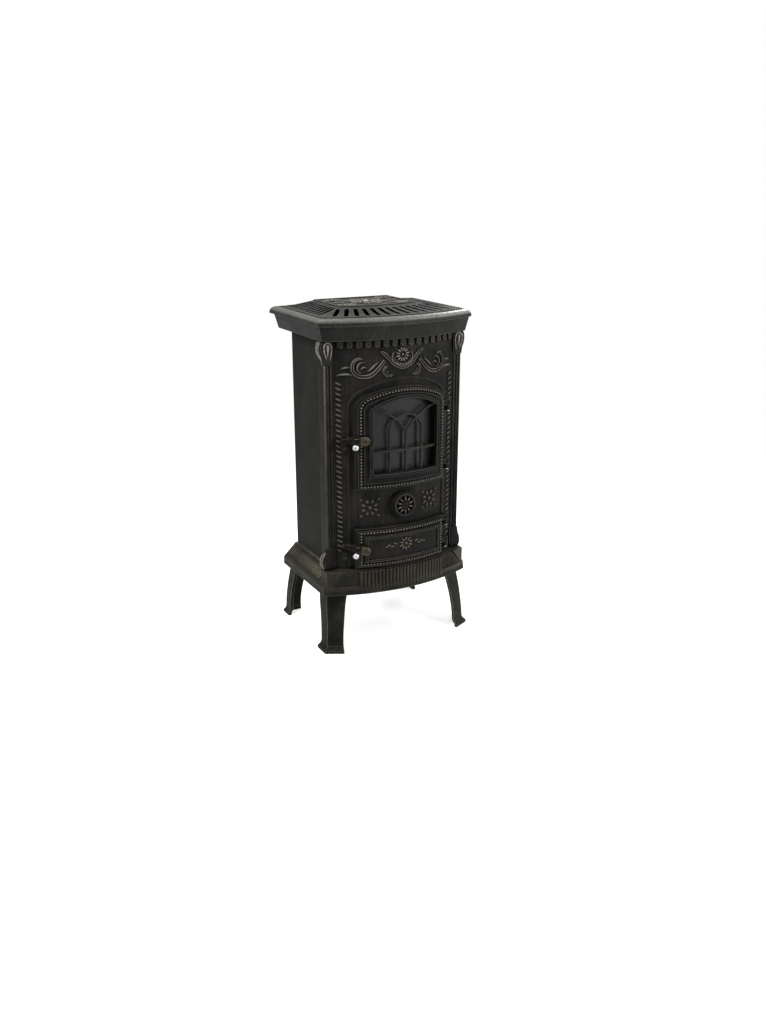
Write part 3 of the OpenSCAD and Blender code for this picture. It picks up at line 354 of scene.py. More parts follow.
def beside(line: Sequence[Sequence[float]], gaps: Sequence[float]) -> list[list[float]]:
    """Shifts a line sideways by a gap at each point.

    Args:
        line: The line's points.
        gaps: The shift to the left of the line at each point.

    Returns:
        The shifted points, with the line's other numbers kept.
    """
    shifted = []
    for k, point in enumerate(line):
        before, after = line[max(k - 1, 0)], line[min(k + 1, len(line) - 1)]
        way = Vector((after[0] - before[0], after[1] - before[1])).normalized()
        shifted.append([point[0] - way.y * gaps[k], point[1] + way.x * gaps[k], *point[2:]])
    return shifted


def ribbon(knots: Sequence[Sequence[float]], height: float, crest: float = 1.15) -> Shape:
    """Models a broad band with a rounded crest along each of its edges.

    Args:
        knots: X, Y and half width at each knot.
        height: Height of the crests.
        crest: Half width of a crest.

    Returns:
        The band.
    """
    band, out = 0.45, 0.62  # the band's height against its crests', and where they run across it
    line = smooth_line(knots, 6)
    wide = [max(0.6, point[2]) for point in line]
    shapes = [ridge([point[:2] for point in line], wide, band * height / max(wide))]
    for side in (-1, 1):
        edge = beside(line, [side * out * w for w in wide])
        thin = [min(crest, 0.5 * w + 0.2) for w in wide]
        shapes.append(ridge([point[:2] for point in edge], thin, height / crest))
    return weld(shapes, "ribbon")


def evenly(line: Sequence[Flat], pitch: float, closed: bool = False) -> list[Vector]:
    """Spaces places evenly along a line.

    Args:
        line: The line's points.
        pitch: The spacing wanted.
        closed: Whether the line joins up with itself.

    Returns:
        The places.
    """
    points = [Vector(point) for point in line]
    if closed:
        points.append(points[0])
    lengths = [(b - a).length for a, b in zip(points, points[1:])]
    whole = sum(lengths)
    count = max(2, round(whole / pitch))
    places = []
    for k in range(count if closed else count + 1):
        left = min(whole * k / count, whole - 1e-9)
        for a, b, length in zip(points, points[1:], lengths):
            if left <= length:
                break
            left -= length
        places.append(a + (b - a) * (left / length))
    return places


def arch_line(half: float, low: float, high: float, rise: float, shoulder: float) -> list[Flat]:
    """Draws the doors' three-centred arch as a closed line.

    Args:
        half: Half its width.
        low: Height of its lower edge.
        high: Height of its crown.
        rise: Rise above its straight sides.
        shoulder: Radius of its shoulders.

    Returns:
        Points from the lower left corner, anticlockwise.
    """
    spring = high - rise
    reach = half - shoulder
    wide = (reach ** 2 + rise ** 2 - shoulder ** 2) / (2 * (rise - shoulder))
    lean = math.atan2(spring - (high - wide), reach)
    foot = straight((-half, low), (half, low), 24)[:-1]
    right = straight((half, low), (half, spring), 24)[:-1]
    right += arc((reach, spring), shoulder, 0.0, lean, 12)[:-1]
    right += arc((0.0, high - wide), wide, lean, math.pi / 2, 16)
    return foot + right + [(-x, z) for x, z in reversed(right[:-1])]


def box_line(half: float, low: float, high: float) -> list[Flat]:
    """Returns a rectangle's four corners, anticlockwise."""
    return [(-half, low), (half, low), (half, high), (-half, high)]


def stamp(master: Shape, places: Sequence[Matrix], name: str, keep: bool = False) -> Shape:
    """Copies a finished shape to many places, as one piece.

    Args:
        master: The shape that repeats.
        places: Where each copy goes.
        name: The new piece's name.
        keep: Whether the master stays for another use.

    Returns:
        The copies, joined.
    """
    made = bmesh.new()
    for place in places:
        one = bmesh.new()
        one.from_mesh(master.data)
        one.transform(place)
        if place.determinant() < 0:
            bmesh.ops.reverse_faces(one, faces=one.faces)
        scrap = bpy.data.meshes.new("scrap")
        one.to_mesh(scrap)
        one.free()
        made.from_mesh(scrap)
        bpy.data.meshes.remove(scrap)
    data = bpy.data.meshes.new(name)
    made.to_mesh(data)
    made.free()
    piece = bpy.data.objects.new(name, data)
    bpy.context.scene.collection.objects.link(piece)
    if not keep:
        bpy.data.objects.remove(master)
    return piece


def weld(pieces: Sequence[Shape], name: str) -> Shape:
    """Joins shapes into one piece.

    Args:
        pieces: The shapes; the first takes in the rest.
        name: The piece's name.

    Returns:
        The joined piece.
    """
    deselect()
    for piece in pieces:
        piece.select_set(True)
    bpy.context.view_layer.objects.active = pieces[0]
    if len(pieces) > 1:
        bpy.ops.object.join()
    joined = bpy.context.view_layer.objects.active
    joined.name = name
    joined.data.name = name
    return joined


def at(x: float, y: float, turn: float = 0.0, lift: float = 0.0) -> Matrix:
    """Returns a place on the board: a point, a turn in radians and a lift."""
    return Matrix.Translation((x, y, lift)) @ Matrix.Rotation(turn, 4, "Z")


def fan(first: float, step: float, count: int, lift: float = 0.0) -> list[Matrix]:
    """Returns places turned about the board's middle, by a first angle and even steps in degrees."""
    return [at(0, 0, math.radians(first + step * k), lift) for k in range(count)]


def bloom(petal: Shape, petals: int, heart: Shape) -> Shape:
    """Models a flower of equal petals round a domed heart, about the board's middle."""
    return weld([stamp(petal, fan(180 / petals, 360 / petals, petals), "petals"), heart], "flower")


# ---------------------------------------------------------------- surfaces


class Surface(Protocol):
    """Something that a relief is laid on."""

    def place(self, point: Vector) -> Vector:
        """Returns where a board point lands, in millimetres of the shared frame."""


@dataclass(frozen=True)
class Bow:
    """The bowed front, seen square on, with the board's middle on the floor.

    Attributes:
        proud: Distance of the board in front of the bare face.
    """

    proud: float = 0.0

    def place(self, point: Vector) -> Vector:
        """Returns the point on the bow; X and height stay as drawn."""
        reach = FACE_RADIUS + self.proud + point.z
        return Vector((point.x, FACE_AXIS - math.sqrt(reach ** 2 - point.x ** 2), point.y))


@dataclass(frozen=True)
class BaseFront:
    """The base's bowed front, which leans back a little as it rises.

    Attributes:
        sunk: Distance of the board behind the base's own face.
        radius: Radius of that face at its foot.
        axis: Distance of its axis behind the shared frame's middle.
        foot_z: Height of its foot.
        head_z: Height of its head.
        lean: How far its head stands behind its foot.
    """

    sunk: float = 0.0
    radius: float = 432.0
    axis: float = 264.7 + HOME
    foot_z: float = 158.0
    head_z: float = 196.0
    lean: float = 4.0

    def place(self, point: Vector) -> Vector:
        """Lays a board point on the base's front.

        Args:
            point: The point.

        Returns:
            Where it lands.
        """
        back = max(0.0, point.y - self.foot_z) * self.lean / (self.head_z - self.foot_z)
        reach = self.radius - back - self.sunk + point.z
        return Vector((point.x, self.axis - math.sqrt(reach ** 2 - point.x ** 2), point.y))


@dataclass(frozen=True)
class Plane:
    """A flat surface.

    Attributes:
        origin: Where the board's middle lies.
        across: Direction of the board's X.
        up: Direction of the board's Y.
    """

    origin: Vector
    across: Vector
    up: Vector

    def place(self, point: Vector) -> Vector:
        """Returns the point on the plane."""
        return self.origin + point.x * self.across + point.y * self.up + point.z * self.across.cross(self.up)


def lay_on(piece: Shape, surface: Surface, rise: float, smooth: float = 40.0) -> Shape:
    """Lays a board piece on its surface and notes how much bronze each point takes.

    The brush leaves most on what stands proud; what faces down keeps less, a painted shade of light from
    above.

    Args:
        piece: The piece, on the board.
        surface: What it is laid on.
        rise: The height at which its bronze is full.
        smooth: Faces that meet at less than this angle are shaded as one.

    Returns:
        The piece, in metres, at its place.
    """
    mesh = piece.data
    layer = mesh.attributes.new(GILT_AND_LIGHT, "FLOAT", "POINT")
    for item, vertex in zip(layer.data, mesh.vertices):
        item.value = fade(vertex.co.z / rise, BRUSH_FROM, BRUSH_FULL)
    for vertex in mesh.vertices:
        vertex.co = surface.place(vertex.co.copy()) * MM
    mesh.update()
    # painted shade: a face that looks down keeps less bronze, as if lit from above
    for item, vertex in zip(layer.data, mesh.vertices):
        item.value *= fade(vertex.normal.z, -TOP_LIGHT_SLOPE, TOP_LIGHT_SLOPE, UNDERSIDE_SHADE)
    take(piece)
    bpy.ops.object.shade_smooth_by_angle(angle=math.radians(smooth))
    return piece


def brush(piece: Shape, amount: Callable[[Vector, float], float]) -> None:
    """Sets how much bronze each point of a piece takes.

    Args:
        piece: The piece, in metres, at its place.
        amount: Gives it from a point's place in millimetres and what it had.
    """
    for item, vertex in zip(piece.data.attributes[GILT_AND_LIGHT].data, piece.data.vertices):
        item.value = amount(vertex.co / MM, item.value)


# ---------------------------------------------------------------- finishes


def linear(colour: str) -> tuple[float, float, float, float]:
    """Turns an sRGB hex colour such as "#2a2b2c" into a linear one."""
    parts = [int(colour[k:k + 2], 16) / 255 for k in (1, 3, 5)]
    return (*[c / 12.92 if c <= 0.04045 else ((c + 0.055) / 1.055) ** 2.4 for c in parts], 1.0)


TIMES, MOST = {"operation": "MULTIPLY"}, {"operation": "MAXIMUM"}
COLOURS = {"data_type": "RGBA"}


def add_node(tree: bpy.types.NodeTree, kind: str, settings: dict[str, object] | None = None,
             **links: object) -> bpy.types.Node:
    """Adds a node with its settings and links.

    Args:
        tree: The material's or world's node tree.
        kind: The node's type, after "ShaderNode".
        settings: The node's own settings.
        links: What each input takes: a value, an output socket, or a node
            for its first output. A name such as "in0" stands for an input
            by its number.

    Returns:
        The node.
    """
    node = tree.nodes.new("ShaderNode" + kind)
    for key, value in (settings or {}).items():
        setattr(node, key, value)
    for key, value in links.items():
        numbered = key[:2] == "in" and key[2:].isdigit()
        socket = node.inputs[int(key[2:]) if numbered else key.replace("_", " ")]
        if isinstance(value, bpy.types.Node):
            value = value.outputs[0]
        if isinstance(value, bpy.types.NodeSocket):
            tree.links.new(value, socket)
        else:
            socket.default_value = value
    return node


def new_material(name: str) -> tuple[bpy.types.Material, bpy.types.NodeTree]:
    """Makes an empty node material.

    Args:
        name: Its name.

    Returns:
        The material and its tree.
    """
    material = bpy.data.materials.new(name)
    material.use_nodes = True
    material.node_tree.nodes.clear()
    return material, material.node_tree


@dataclass(frozen=True)
class BlackedIron:
    """Sand-cast grey iron, stove-blacked, then dry-brushed with antique bronze.

    The blacking is a soft, slightly brown black with a low sheen; the sand of
    the mould leaves a grain of about a millimetre. The brush leaves bronze on
    edges and on whatever stands proud, and little in the hollows. The colour
    is also painted darker in the hollows and on upright walls, as shade, and a
    band can carry a painted highlight.

    Attributes:
        name: The material's name.
        black: The blacking's colour.
        pale: The blacking where handling has greyed it.
        bronze: The brushed bronze.
        dust: How much bronze lies over the open surface.
        edge: How much bronze the edges carry.
        relief: How much bronze the raised ornament carries.
        edge_mm: How far from an edge the bronze reaches.
        sheen: The blacking's specular level; polish leaves little.
        burnish_and_highlight: A band that hands have burnished, painted lighter as a
        highlight that grows towards its right end: its lower and upper height in
        millimetres, and how much burnished metal and painted highlight show at its right end.
        hollow_mm: How wide a hollow counts as one.
        hollow_shade: Painted shade in the hollows: open sky in the deepest and the
            shallowest hollow, and the share of its colour that the deepest keeps.
        upright: Share of its colour that an upright face keeps, a painted shade
        that darkens the walls of the slots.
    """

    name: str
    black: str = "#0c0c0d"
    pale: str = "#161617"
    bronze: str = "#7d7454"
    dust: float = 0.02
    edge: float = 0.4
    relief: float = 0.0
    edge_mm: float = 1.3
    sheen: float = 0.04
    burnish_and_highlight: tuple[float, float, float] = (0.0, 1.0, 0.0)
    hollow_mm: float = 8.0
    hollow_shade: tuple[float, float, float] = (0.15, 0.85, 0.25)
    upright: float = 1.0

    def band(self, tree: bpy.types.NodeTree, place: bpy.types.NodeSocket) -> bpy.types.Node:
        """Draws the burnished band with its painted highlight, which is brighter towards its right end.

        Args:
            tree: The material's node tree.
            place: Where the point is.

        Returns:
            How much burnished metal and painted highlight shows.
        """
        low, high, bare = self.burnish_and_highlight
        blend = 2.0  # the band's edges fade over this many millimetres, each way
        axes = add_node(tree, "SeparateXYZ", Vector=place)
        above = add_node(tree, "MapRange", Value=axes.outputs[2],
                         From_Min=(low - blend) * MM, From_Max=(low + blend) * MM)
        below = add_node(tree, "MapRange", Value=axes.outputs[2],
                         From_Min=(high + blend) * MM, From_Max=(high - blend) * MM, To_Max=bare)
        # painted highlight: the band grows brighter towards the right end
        right = add_node(tree, "MapRange", Value=axes.outputs[0], From_Min=-0.12, From_Max=0.18, To_Min=0.32)
        inside = add_node(tree, "Math", TIMES, in0=above, in1=below)
        return add_node(tree, "Math", TIMES, in0=inside, in1=right)

    def gilding(self, tree: bpy.types.NodeTree, open_sky: bpy.types.NodeSocket) -> bpy.types.Node:
        """Finds where the brush left bronze on open edges and on the raised ornament, with the painted light
        its attribute carries.

        Args:
            tree: The material's node tree.
            open_sky: How open the point lies.

        Returns:
            How much bronze there is.
        """
        # an edge shows as a rounded normal that strays from the true one
        rounded = add_node(tree, "Bevel", {"samples": 6}, Radius=self.edge_mm * MM)
        true = add_node(tree, "NewGeometry")
        facing = add_node(tree, "VectorMath", {"operation": "DOT_PRODUCT"},
                          in0=rounded, in1=true.outputs["Normal"])
        edge = add_node(tree, "MapRange", Value=facing.outputs["Value"], From_Min=0.995, From_Max=0.86,
                        To_Min=0.0, To_Max=self.edge)
        proud = add_node(tree, "MapRange", Value=open_sky, From_Min=0.55, From_Max=0.92)
        edge_out = add_node(tree, "Math", TIMES, in0=edge, in1=proud)
        raised = add_node(tree, "Attribute", {"attribute_name": GILT_AND_LIGHT})
        relief = add_node(tree, "Math", TIMES, in0=raised.outputs["Fac"], in1=self.relief)
        return add_node(tree, "Math", MOST, in0=edge_out, in1=relief)

    def material(self) -> bpy.types.Material:
        """Makes the finish.

        Returns:
            The material.
        """
        material, tree = new_material(self.name)
        coords = add_node(tree, "TexCoord")
        place = coords.outputs["Object"]
        # patina in patches of about 60 mm, brush marks 4 mm wide, chips of 8 mm, sand grain of 1.3 mm
        patch = add_node(tree, "TexNoise", Vector=place, Scale=16.0, Detail=5.0, Roughness=0.6)
        drawn = add_node(tree, "Mapping", Vector=place, Scale=(1.0, 1.0, 0.06))
        streak = add_node(tree, "TexNoise", Vector=drawn, Scale=230.0, Detail=3.0, Roughness=0.55)
        broken = add_node(tree, "TexNoise", Vector=place, Scale=120.0, Detail=4.0, Roughness=0.65)
        grain = add_node(tree, "TexNoise", Vector=place, Scale=760.0, Detail=3.0, Roughness=0.6)
        sky = add_node(tree, "AmbientOcclusion", {"samples": 6}, Distance=self.hollow_mm * MM)
        open_sky = sky.outputs["AO"]
        # bronze, and the burnished band with its painted highlight, broken up by the chips, with bronze dust
        # over the open surface
        band = self.band(tree, place)
        touched = add_node(tree, "Math", MOST, in0=self.gilding(tree, open_sky), in1=band)
        worn = add_node(tree, "MapRange", Value=broken, From_Min=0.3, From_Max=0.6, To_Min=0.55, To_Max=1.0)
        kept = add_node(tree, "Math", TIMES, in0=touched, in1=worn)
        dust = add_node(tree, "MapRange", Value=patch, From_Min=0.35, From_Max=0.7,
                        To_Min=0.0, To_Max=2 * self.dust)
        brushed = add_node(tree, "MapRange", Value=streak, From_Min=0.35, From_Max=0.7,
                           To_Min=0.35, To_Max=1.5)
        dusted = add_node(tree, "Math", TIMES, in0=dust, in1=brushed)
        gold = add_node(tree, "Math", {"operation": "ADD", "use_clamp": True}, in0=kept, in1=dusted)
        # painted shade: less colour in the hollows and on upright walls; less colour also in the pits of the
        # grain
        speck = add_node(tree, "MapRange", Value=grain, From_Min=0.3, From_Max=0.7, To_Min=0.8, To_Max=1.2)
        # painted shade: the colour darkens where the point lies in a hollow
        deep, shallow, kept_colour = self.hollow_shade
        hollow_shade = add_node(tree, "MapRange", Value=open_sky, From_Min=deep, From_Max=shallow,
                          To_Min=kept_colour, To_Max=1.0)
        # painted shade: upright faces keep only part of their colour
        facing_up = add_node(tree, "SeparateXYZ", Vector=coords.outputs["Normal"])
        level = add_node(tree, "Math", {"operation": "ABSOLUTE"}, in0=facing_up.outputs[2])
        wall_shade = add_node(tree, "MapRange", Value=level, From_Min=0.35, From_Max=0.8, To_Min=self.upright)
        open_face = add_node(tree, "Math", TIMES, in0=wall_shade, in1=hollow_shade)
        shade = add_node(tree, "Math", TIMES, in0=speck, in1=open_face)
        black = add_node(tree, "Mix", COLOURS, in0=patch, in6=linear(self.black), in7=linear(self.pale))
        mixed = add_node(tree, "Mix", COLOURS, in0=gold, in6=black.outputs[2], in7=linear(self.bronze))
        toned = add_node(tree, "VectorMath", {"operation": "SCALE"}, in0=mixed.outputs[2], Scale=shade)
        # burnished metal is smoother, and bronze powder only half a metal
        rough = add_node(tree, "MapRange", Value=broken, To_Min=0.4, To_Max=0.62)
        smooth = add_node(tree, "Math", {"operation": "MULTIPLY_ADD"}, in0=band, in1=-0.35, in2=rough)
        metal = add_node(tree, "Math", TIMES, in0=gold, in1=0.6)
        sand = add_node(tree, "Bump", Height=grain, Strength=0.35, Distance=0.35 * MM)
        cast = add_node(tree, "Bump", Height=broken, Strength=0.25, Distance=0.6 * MM, Normal=sand)
        surface = add_node(tree, "BsdfPrincipled", Base_Color=toned, Roughness=smooth, Metallic=metal,
                           Specular_IOR_Level=self.sheen, Normal=cast)
        add_node(tree, "OutputMaterial", Surface=surface)
        return material


@dataclass(frozen=True)
class BareMetal:
    """Plated or bare metal with fine handling marks.

    Attributes:
        name: The material's name.
        colour: The metal's colour.
        tarnish: Its colour where it is dull.
        smooth: Roughness where it is bright.
        dull: Roughness where it is dull.
        mark_mm: Width of the marks.
    """

    name: str
    colour: str
    tarnish: str
    smooth: float
    dull: float
    mark_mm: float = 1.5

    def material(self) -> bpy.types.Material:
        """Makes the finish.

        Returns:
            The material.
        """
        material, tree = new_material(self.name)
        place = add_node(tree, "TexCoord").outputs["Object"]
        # tarnish in clouds of about 11 mm
        cloud = add_node(tree, "TexNoise", Vector=place, Scale=90.0, Detail=4.0, Roughness=0.6)
        mark = add_node(tree, "TexNoise", Vector=place, Scale=1000.0 / self.mark_mm, Detail=3.0,
                        Roughness=0.5)
        dull = add_node(tree, "MapRange", Value=cloud, From_Min=0.42, From_Max=0.72)
        colour = add_node(tree, "Mix", COLOURS, in0=dull, in6=linear(self.colour), in7=linear(self.tarnish))
        rough = add_node(tree, "MapRange", Value=mark, From_Min=0.3, From_Max=0.7,
                         To_Min=self.smooth, To_Max=self.dull)
        bump = add_node(tree, "Bump", Height=mark, Strength=0.12, Distance=0.1 * MM)
        surface = add_node(tree, "BsdfPrincipled", Base_Color=colour.outputs[2], Roughness=rough,
                           Metallic=1.0, Normal=bump)
        add_node(tree, "OutputMaterial", Surface=surface)
        return material


@dataclass(frozen=True)
class Firebrick:
    """Pressed vermiculite board: buff, matt, with flakes of 2 to 4 mm and soot above.

    Attributes:
        name: The material's name.
        colour: The board's colour.
        flake: The colour of a flake's middle.
        soot: The colour of the soot.
    """

    name: str = "pressed_vermiculite"
    colour: str = "#a89471"
    flake: str = "#c4b48f"
    soot: str = "#2b2825"

    def material(self) -> bpy.types.Material:
        """Makes the finish.

        Returns:
            The material.
        """
        material, tree = new_material(self.name)
        place = add_node(tree, "TexCoord").outputs["Object"]
        # flakes of 3 mm, and smoke in clouds of about 70 mm
        flakes = add_node(tree, "TexVoronoi", Vector=place, Scale=330.0)
        smoke = add_node(tree, "TexNoise", Vector=place, Scale=14.0, Detail=4.0)
        soft = add_node(tree, "MapRange", Value=smoke, From_Min=0.35, From_Max=0.65, To_Min=0.1, To_Max=0.85)
        flaked = add_node(tree, "Mix", COLOURS, in0=flakes.outputs["Distance"],
                          in6=linear(self.flake), in7=linear(self.colour))
        sooty = add_node(tree, "Mix", COLOURS, in0=soft, in6=flaked.outputs[2], in7=linear(self.soot))
        bump = add_node(tree, "Bump", Height=flakes.outputs["Distance"], Strength=0.5, Distance=0.6 * MM)
        surface = add_node(tree, "BsdfPrincipled", Base_Color=sooty.outputs[2], Roughness=0.93, Normal=bump)
        add_node(tree, "OutputMaterial", Surface=surface)
        return material


@dataclass(frozen=True)
class BraidedRope:
    """Knitted glass-fibre sealing rope: grey, matt, with a 2.5 mm stitch.

    Attributes:
        name: The material's name.
        light: The colour of the yarn's crests.
        dark: The colour between them.
    """

    name: str = "knitted_glass_rope"
    light: str = "#77746d"
    dark: str = "#35332f"

    def material(self) -> bpy.types.Material:
        """Makes the finish.

        Returns:
            The material.
        """
        material, tree = new_material(self.name)
        place = add_node(tree, "TexCoord").outputs["Object"]
        turned = add_node(tree, "Mapping", Vector=place, Rotation=(0.0, math.radians(90), math.radians(90)))
        one, other = (add_node(tree, "TexWave", {"wave_type": "BANDS", "bands_direction": "DIAGONAL"},
                               Vector=way, Scale=130.0, Distortion=1.2, Detail=2.0).outputs["Fac"]
                      for way in (place, turned))
        weave = add_node(tree, "Math", TIMES, in0=one, in1=other)
        colour = add_node(tree, "Mix", COLOURS, in0=weave, in6=linear(self.dark), in7=linear(self.light))
        bump = add_node(tree, "Bump", Height=weave, Strength=0.8, Distance=0.8 * MM)
        surface = add_node(tree, "BsdfPrincipled", Base_Color=colour.outputs[2], Roughness=0.95, Normal=bump)
        add_node(tree, "OutputMaterial", Surface=surface)
        return material


@dataclass(frozen=True)
class SmokedGlass:
    """Clear glass-ceramic, smoked by the fire: nearly black, with a soft film of soot.

    Attributes:
        name: The material's name.
        colour: The film's colour where it is thin.
        thick: Its colour where it is thick.
    """

    name: str = "smoked_glass_ceramic"
    colour: str = "#222223"
    thick: str = "#141415"

    def material(self) -> bpy.types.Material:
        """Makes the finish.

        Returns:
            The material.
        """
        material, tree = new_material(self.name)
        place = add_node(tree, "TexCoord").outputs["Object"]
        # the film lies in clouds of about 45 mm
        film = add_node(tree, "TexNoise", Vector=place, Scale=22.0, Detail=4.0, Roughness=0.6)
        rough = add_node(tree, "MapRange", Value=film, From_Min=0.3, From_Max=0.7, To_Min=0.26, To_Max=0.36)
        tint = add_node(tree, "Mix", COLOURS, in0=film, in6=linear(self.colour), in7=linear(self.thick))
        surface = add_node(tree, "BsdfPrincipled", Base_Color=tint.outputs[2], Roughness=rough,
                           Transmission_Weight=0.3, IOR=1.52, Specular_IOR_Level=0.14)
        add_node(tree, "OutputMaterial", Surface=surface)
        return material


class Finish(Enum):
    """The stove's finishes."""

    PANEL = BlackedIron("blacked_iron_panel", black="#0d0d0d", pale="#191818", bronze="#7b776c", dust=0.03,
                        edge=0.35, edge_mm=1.6)
    # painted light: a lighter copy of the blacked iron for the sides, back and flue collar, which stand in
    # more light than the front
    LIGHTER_SIDE = BlackedIron("blacked_iron_side_painted_lighter", black="#151614", pale="#20211e", dust=0.01, edge=0.4, sheen=0.02)
    # painted highlight: the band along the rolled edge is lighter and brightest at its right end, and
    # smoother as if burnished
    FRAME = BlackedIron("blacked_iron_frame", black="#0d0d0d", pale="#181817", bronze="#8f8d87", dust=0.02,
                        edge=0.4, edge_mm=1.6, sheen=0.1, burnish_and_highlight=(758.5, 770.0, 0.85))
    # painted shade: the slots' upright walls and deep hollows keep little colour
    COVER = BlackedIron("blacked_iron_cover", black="#151514", pale="#232321", bronze="#8f8d87", dust=0.03,
                        edge=0.45, edge_mm=1.0, sheen=0.06, hollow_mm=40.0, hollow_shade=(0.5, 0.93, 0.04),
                        upright=0.1)
    # near-black soot on the plate under the cover, also a painted shade that darkens the slots; the latches'
    # hole discs take it as painted shade
    SOOT_AND_SHADE = BlackedIron("sooty_iron_and_painted_shade", black="#050505", pale="#0b0a0a", dust=0.0, edge=0.1, sheen=0.01)
    # painted highlight: a lighter band over the base's height, brighter towards the right
    BASE = BlackedIron("blacked_iron_base", black="#12120f", pale="#201f1b", bronze="#8a8577", dust=0.03,
                       edge=0.4, edge_mm=1.6, burnish_and_highlight=(150.0, 202.0, 0.11))
    LEG = BlackedIron("blacked_iron_leg", black="#0d0d0b", pale="#181714", bronze="#8e8778", dust=0.03,
                      edge=0.85, edge_mm=1.6)
    DOOR = BlackedIron("blacked_iron_door", bronze="#7d766b", edge=0.6, edge_mm=1.6)
    FITTING = BlackedIron("worn_iron_fitting", black="#0d0c0a", pale="#191713", bronze="#989080", dust=0.02,
                          edge=0.7, relief=0.2, edge_mm=0.8)
    PLATE = BlackedIron("brushed_iron_plate", black="#1b1713", pale="#2c2620", bronze="#a0957f", dust=0.03,
                        edge=0.55, relief=0.32, edge_mm=0.8)
    CATCH = BlackedIron("plain_iron_catch", black="#0e0e0d", pale="#191816", bronze="#77726a", dust=0.02,
                        edge=0.4, edge_mm=1.0)
    MOULDING = BlackedIron("brushed_iron_moulding", bronze="#77736a", relief=0.16, edge=0.2, edge_mm=0.8)
    TOOTH = BlackedIron("brushed_iron_dentil", black="#111111", pale="#1c1c1b", bronze="#847f72", relief=0.14,
                        edge=0.8)
    BEAD = BlackedIron("brushed_iron_bead", bronze="#a5a196", relief=0.75, edge=0.1, edge_mm=0.6)
    FLOWER = BlackedIron("brushed_iron_flower", black="#151414", pale="#211f1e", bronze="#7b766c", relief=0.3,
                         edge=0.2, edge_mm=0.8)
    RELIEF = BlackedIron("brushed_iron_relief", bronze="#857e70", relief=0.45, edge=0.2, edge_mm=0.8)
    REED = BlackedIron("brushed_iron_reed", black="#121210", pale="#1f1e1a", bronze="#a09a86", relief=0.55,
                       edge=0.2, edge_mm=0.8)
    SCROLL = BlackedIron("brushed_iron_scroll", bronze="#9c978c", relief=0.6, edge=0.2, edge_mm=0.8)
    GRILLE = BlackedIron("brushed_iron_grille", bronze="#bdb9ae", relief=0.62, edge=0.3, edge_mm=0.8)
    INNER = BlackedIron("heat_greyed_iron", black="#191817", pale="#2b2926", dust=0.0, edge=0.0)
    STEEL = BareMetal("zinc_plated_steel", "#a3a5a6", "#6f6e6a", 0.3, 0.48)
    PAN = BareMetal("galvanised_sheet", "#8b8d8e", "#5f605f", 0.38, 0.58, 4.0)
    NICKEL = BareMetal("nickel_plate", "#b6b5b3", "#7c7a78", 0.18, 0.34)
    BRICK = Firebrick()
    ROPE = BraidedRope()
    GLASS = SmokedGlass()


class Paint:
    """Makes each finish once and puts it on pieces."""

    def __init__(self) -> None:
        """Starts with no finish made."""
        self.made: dict[Finish, bpy.types.Material] = {}

    def coat(self, piece: Shape, finish: Finish) -> None:
        """Gives a piece one finish.

        Args:
            piece: The piece.
            finish: Its finish.
        """
        if finish not in self.made:
            self.made[finish] = finish.value.material()
        piece.data.materials.clear()
        piece.data.materials.append(self.made[finish])


PAINT = Paint()
CAD_FINISH: dict[Finish, tuple[str, ...]] = {
    Finish.PANEL: ("front_panel", "grate_frame"),
    Finish.LIGHTER_SIDE: ("side_panel_left", "side_panel_right", "back_panel", "flue_collar"),
    Finish.FRAME: ("top_frame",),
    Finish.COVER: ("top_cover",),
    Finish.SOOT_AND_SHADE: ("hotplate", "hotplate_lid"),
    Finish.FITTING: ("fire_latch", "ash_latch"),
    Finish.PLATE: ("fire_latch_bolt", "ash_latch_bolt"),
    Finish.CATCH: ("air_spinner", "latch_keepers", "keeper_screws", "spinner_bolt"),
    Finish.BASE: ("base_plate",),
    Finish.LEG: ("leg_front_left", "leg_front_right", "leg_back_left", "leg_back_right"),
    Finish.DOOR: ("fire_door", "ash_door"),
    Finish.INNER: ("fire_grate", "log_guard", "baffle_plate"),
    Finish.STEEL: ("leg_bolts", "tie_rods", "tie_rod_nuts", "flue_collar_bolts", "glass_clips",
                   "glass_clip_screws", "fire_hinge_pins", "ash_hinge_pins", "spinner_nut"),
    Finish.PAN: ("ash_pan", "ash_pan_handle"),
    Finish.NICKEL: ("fire_latch_knob", "ash_latch_knob"),
    Finish.BRICK: ("firebrick_left", "firebrick_right", "firebrick_back"),
    Finish.ROPE: ("fire_door_rope", "ash_door_rope", "window_gasket", "flue_collar_gasket"),
    Finish.GLASS: ("window_glass",),
}


class Slot(Enum):
    """The record's material slot for worn iron; no piece here is given it."""

    WORN = "worn_iron"


def hand_over(piece: Shape, body: str, finish: Finish) -> None:
    """Finishes a piece, sets it on its body and reports it.

    Args:
        piece: The piece, at its place.
        body: The CAD body that it moves with.
        finish: Its finish.
    """
    PAINT.coat(piece, finish)
    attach(piece, body)
    log.info("%s rides on %s, %d faces", piece.name, body, len(piece.data.polygons))


# ---------------------------------------------------------------- front casting


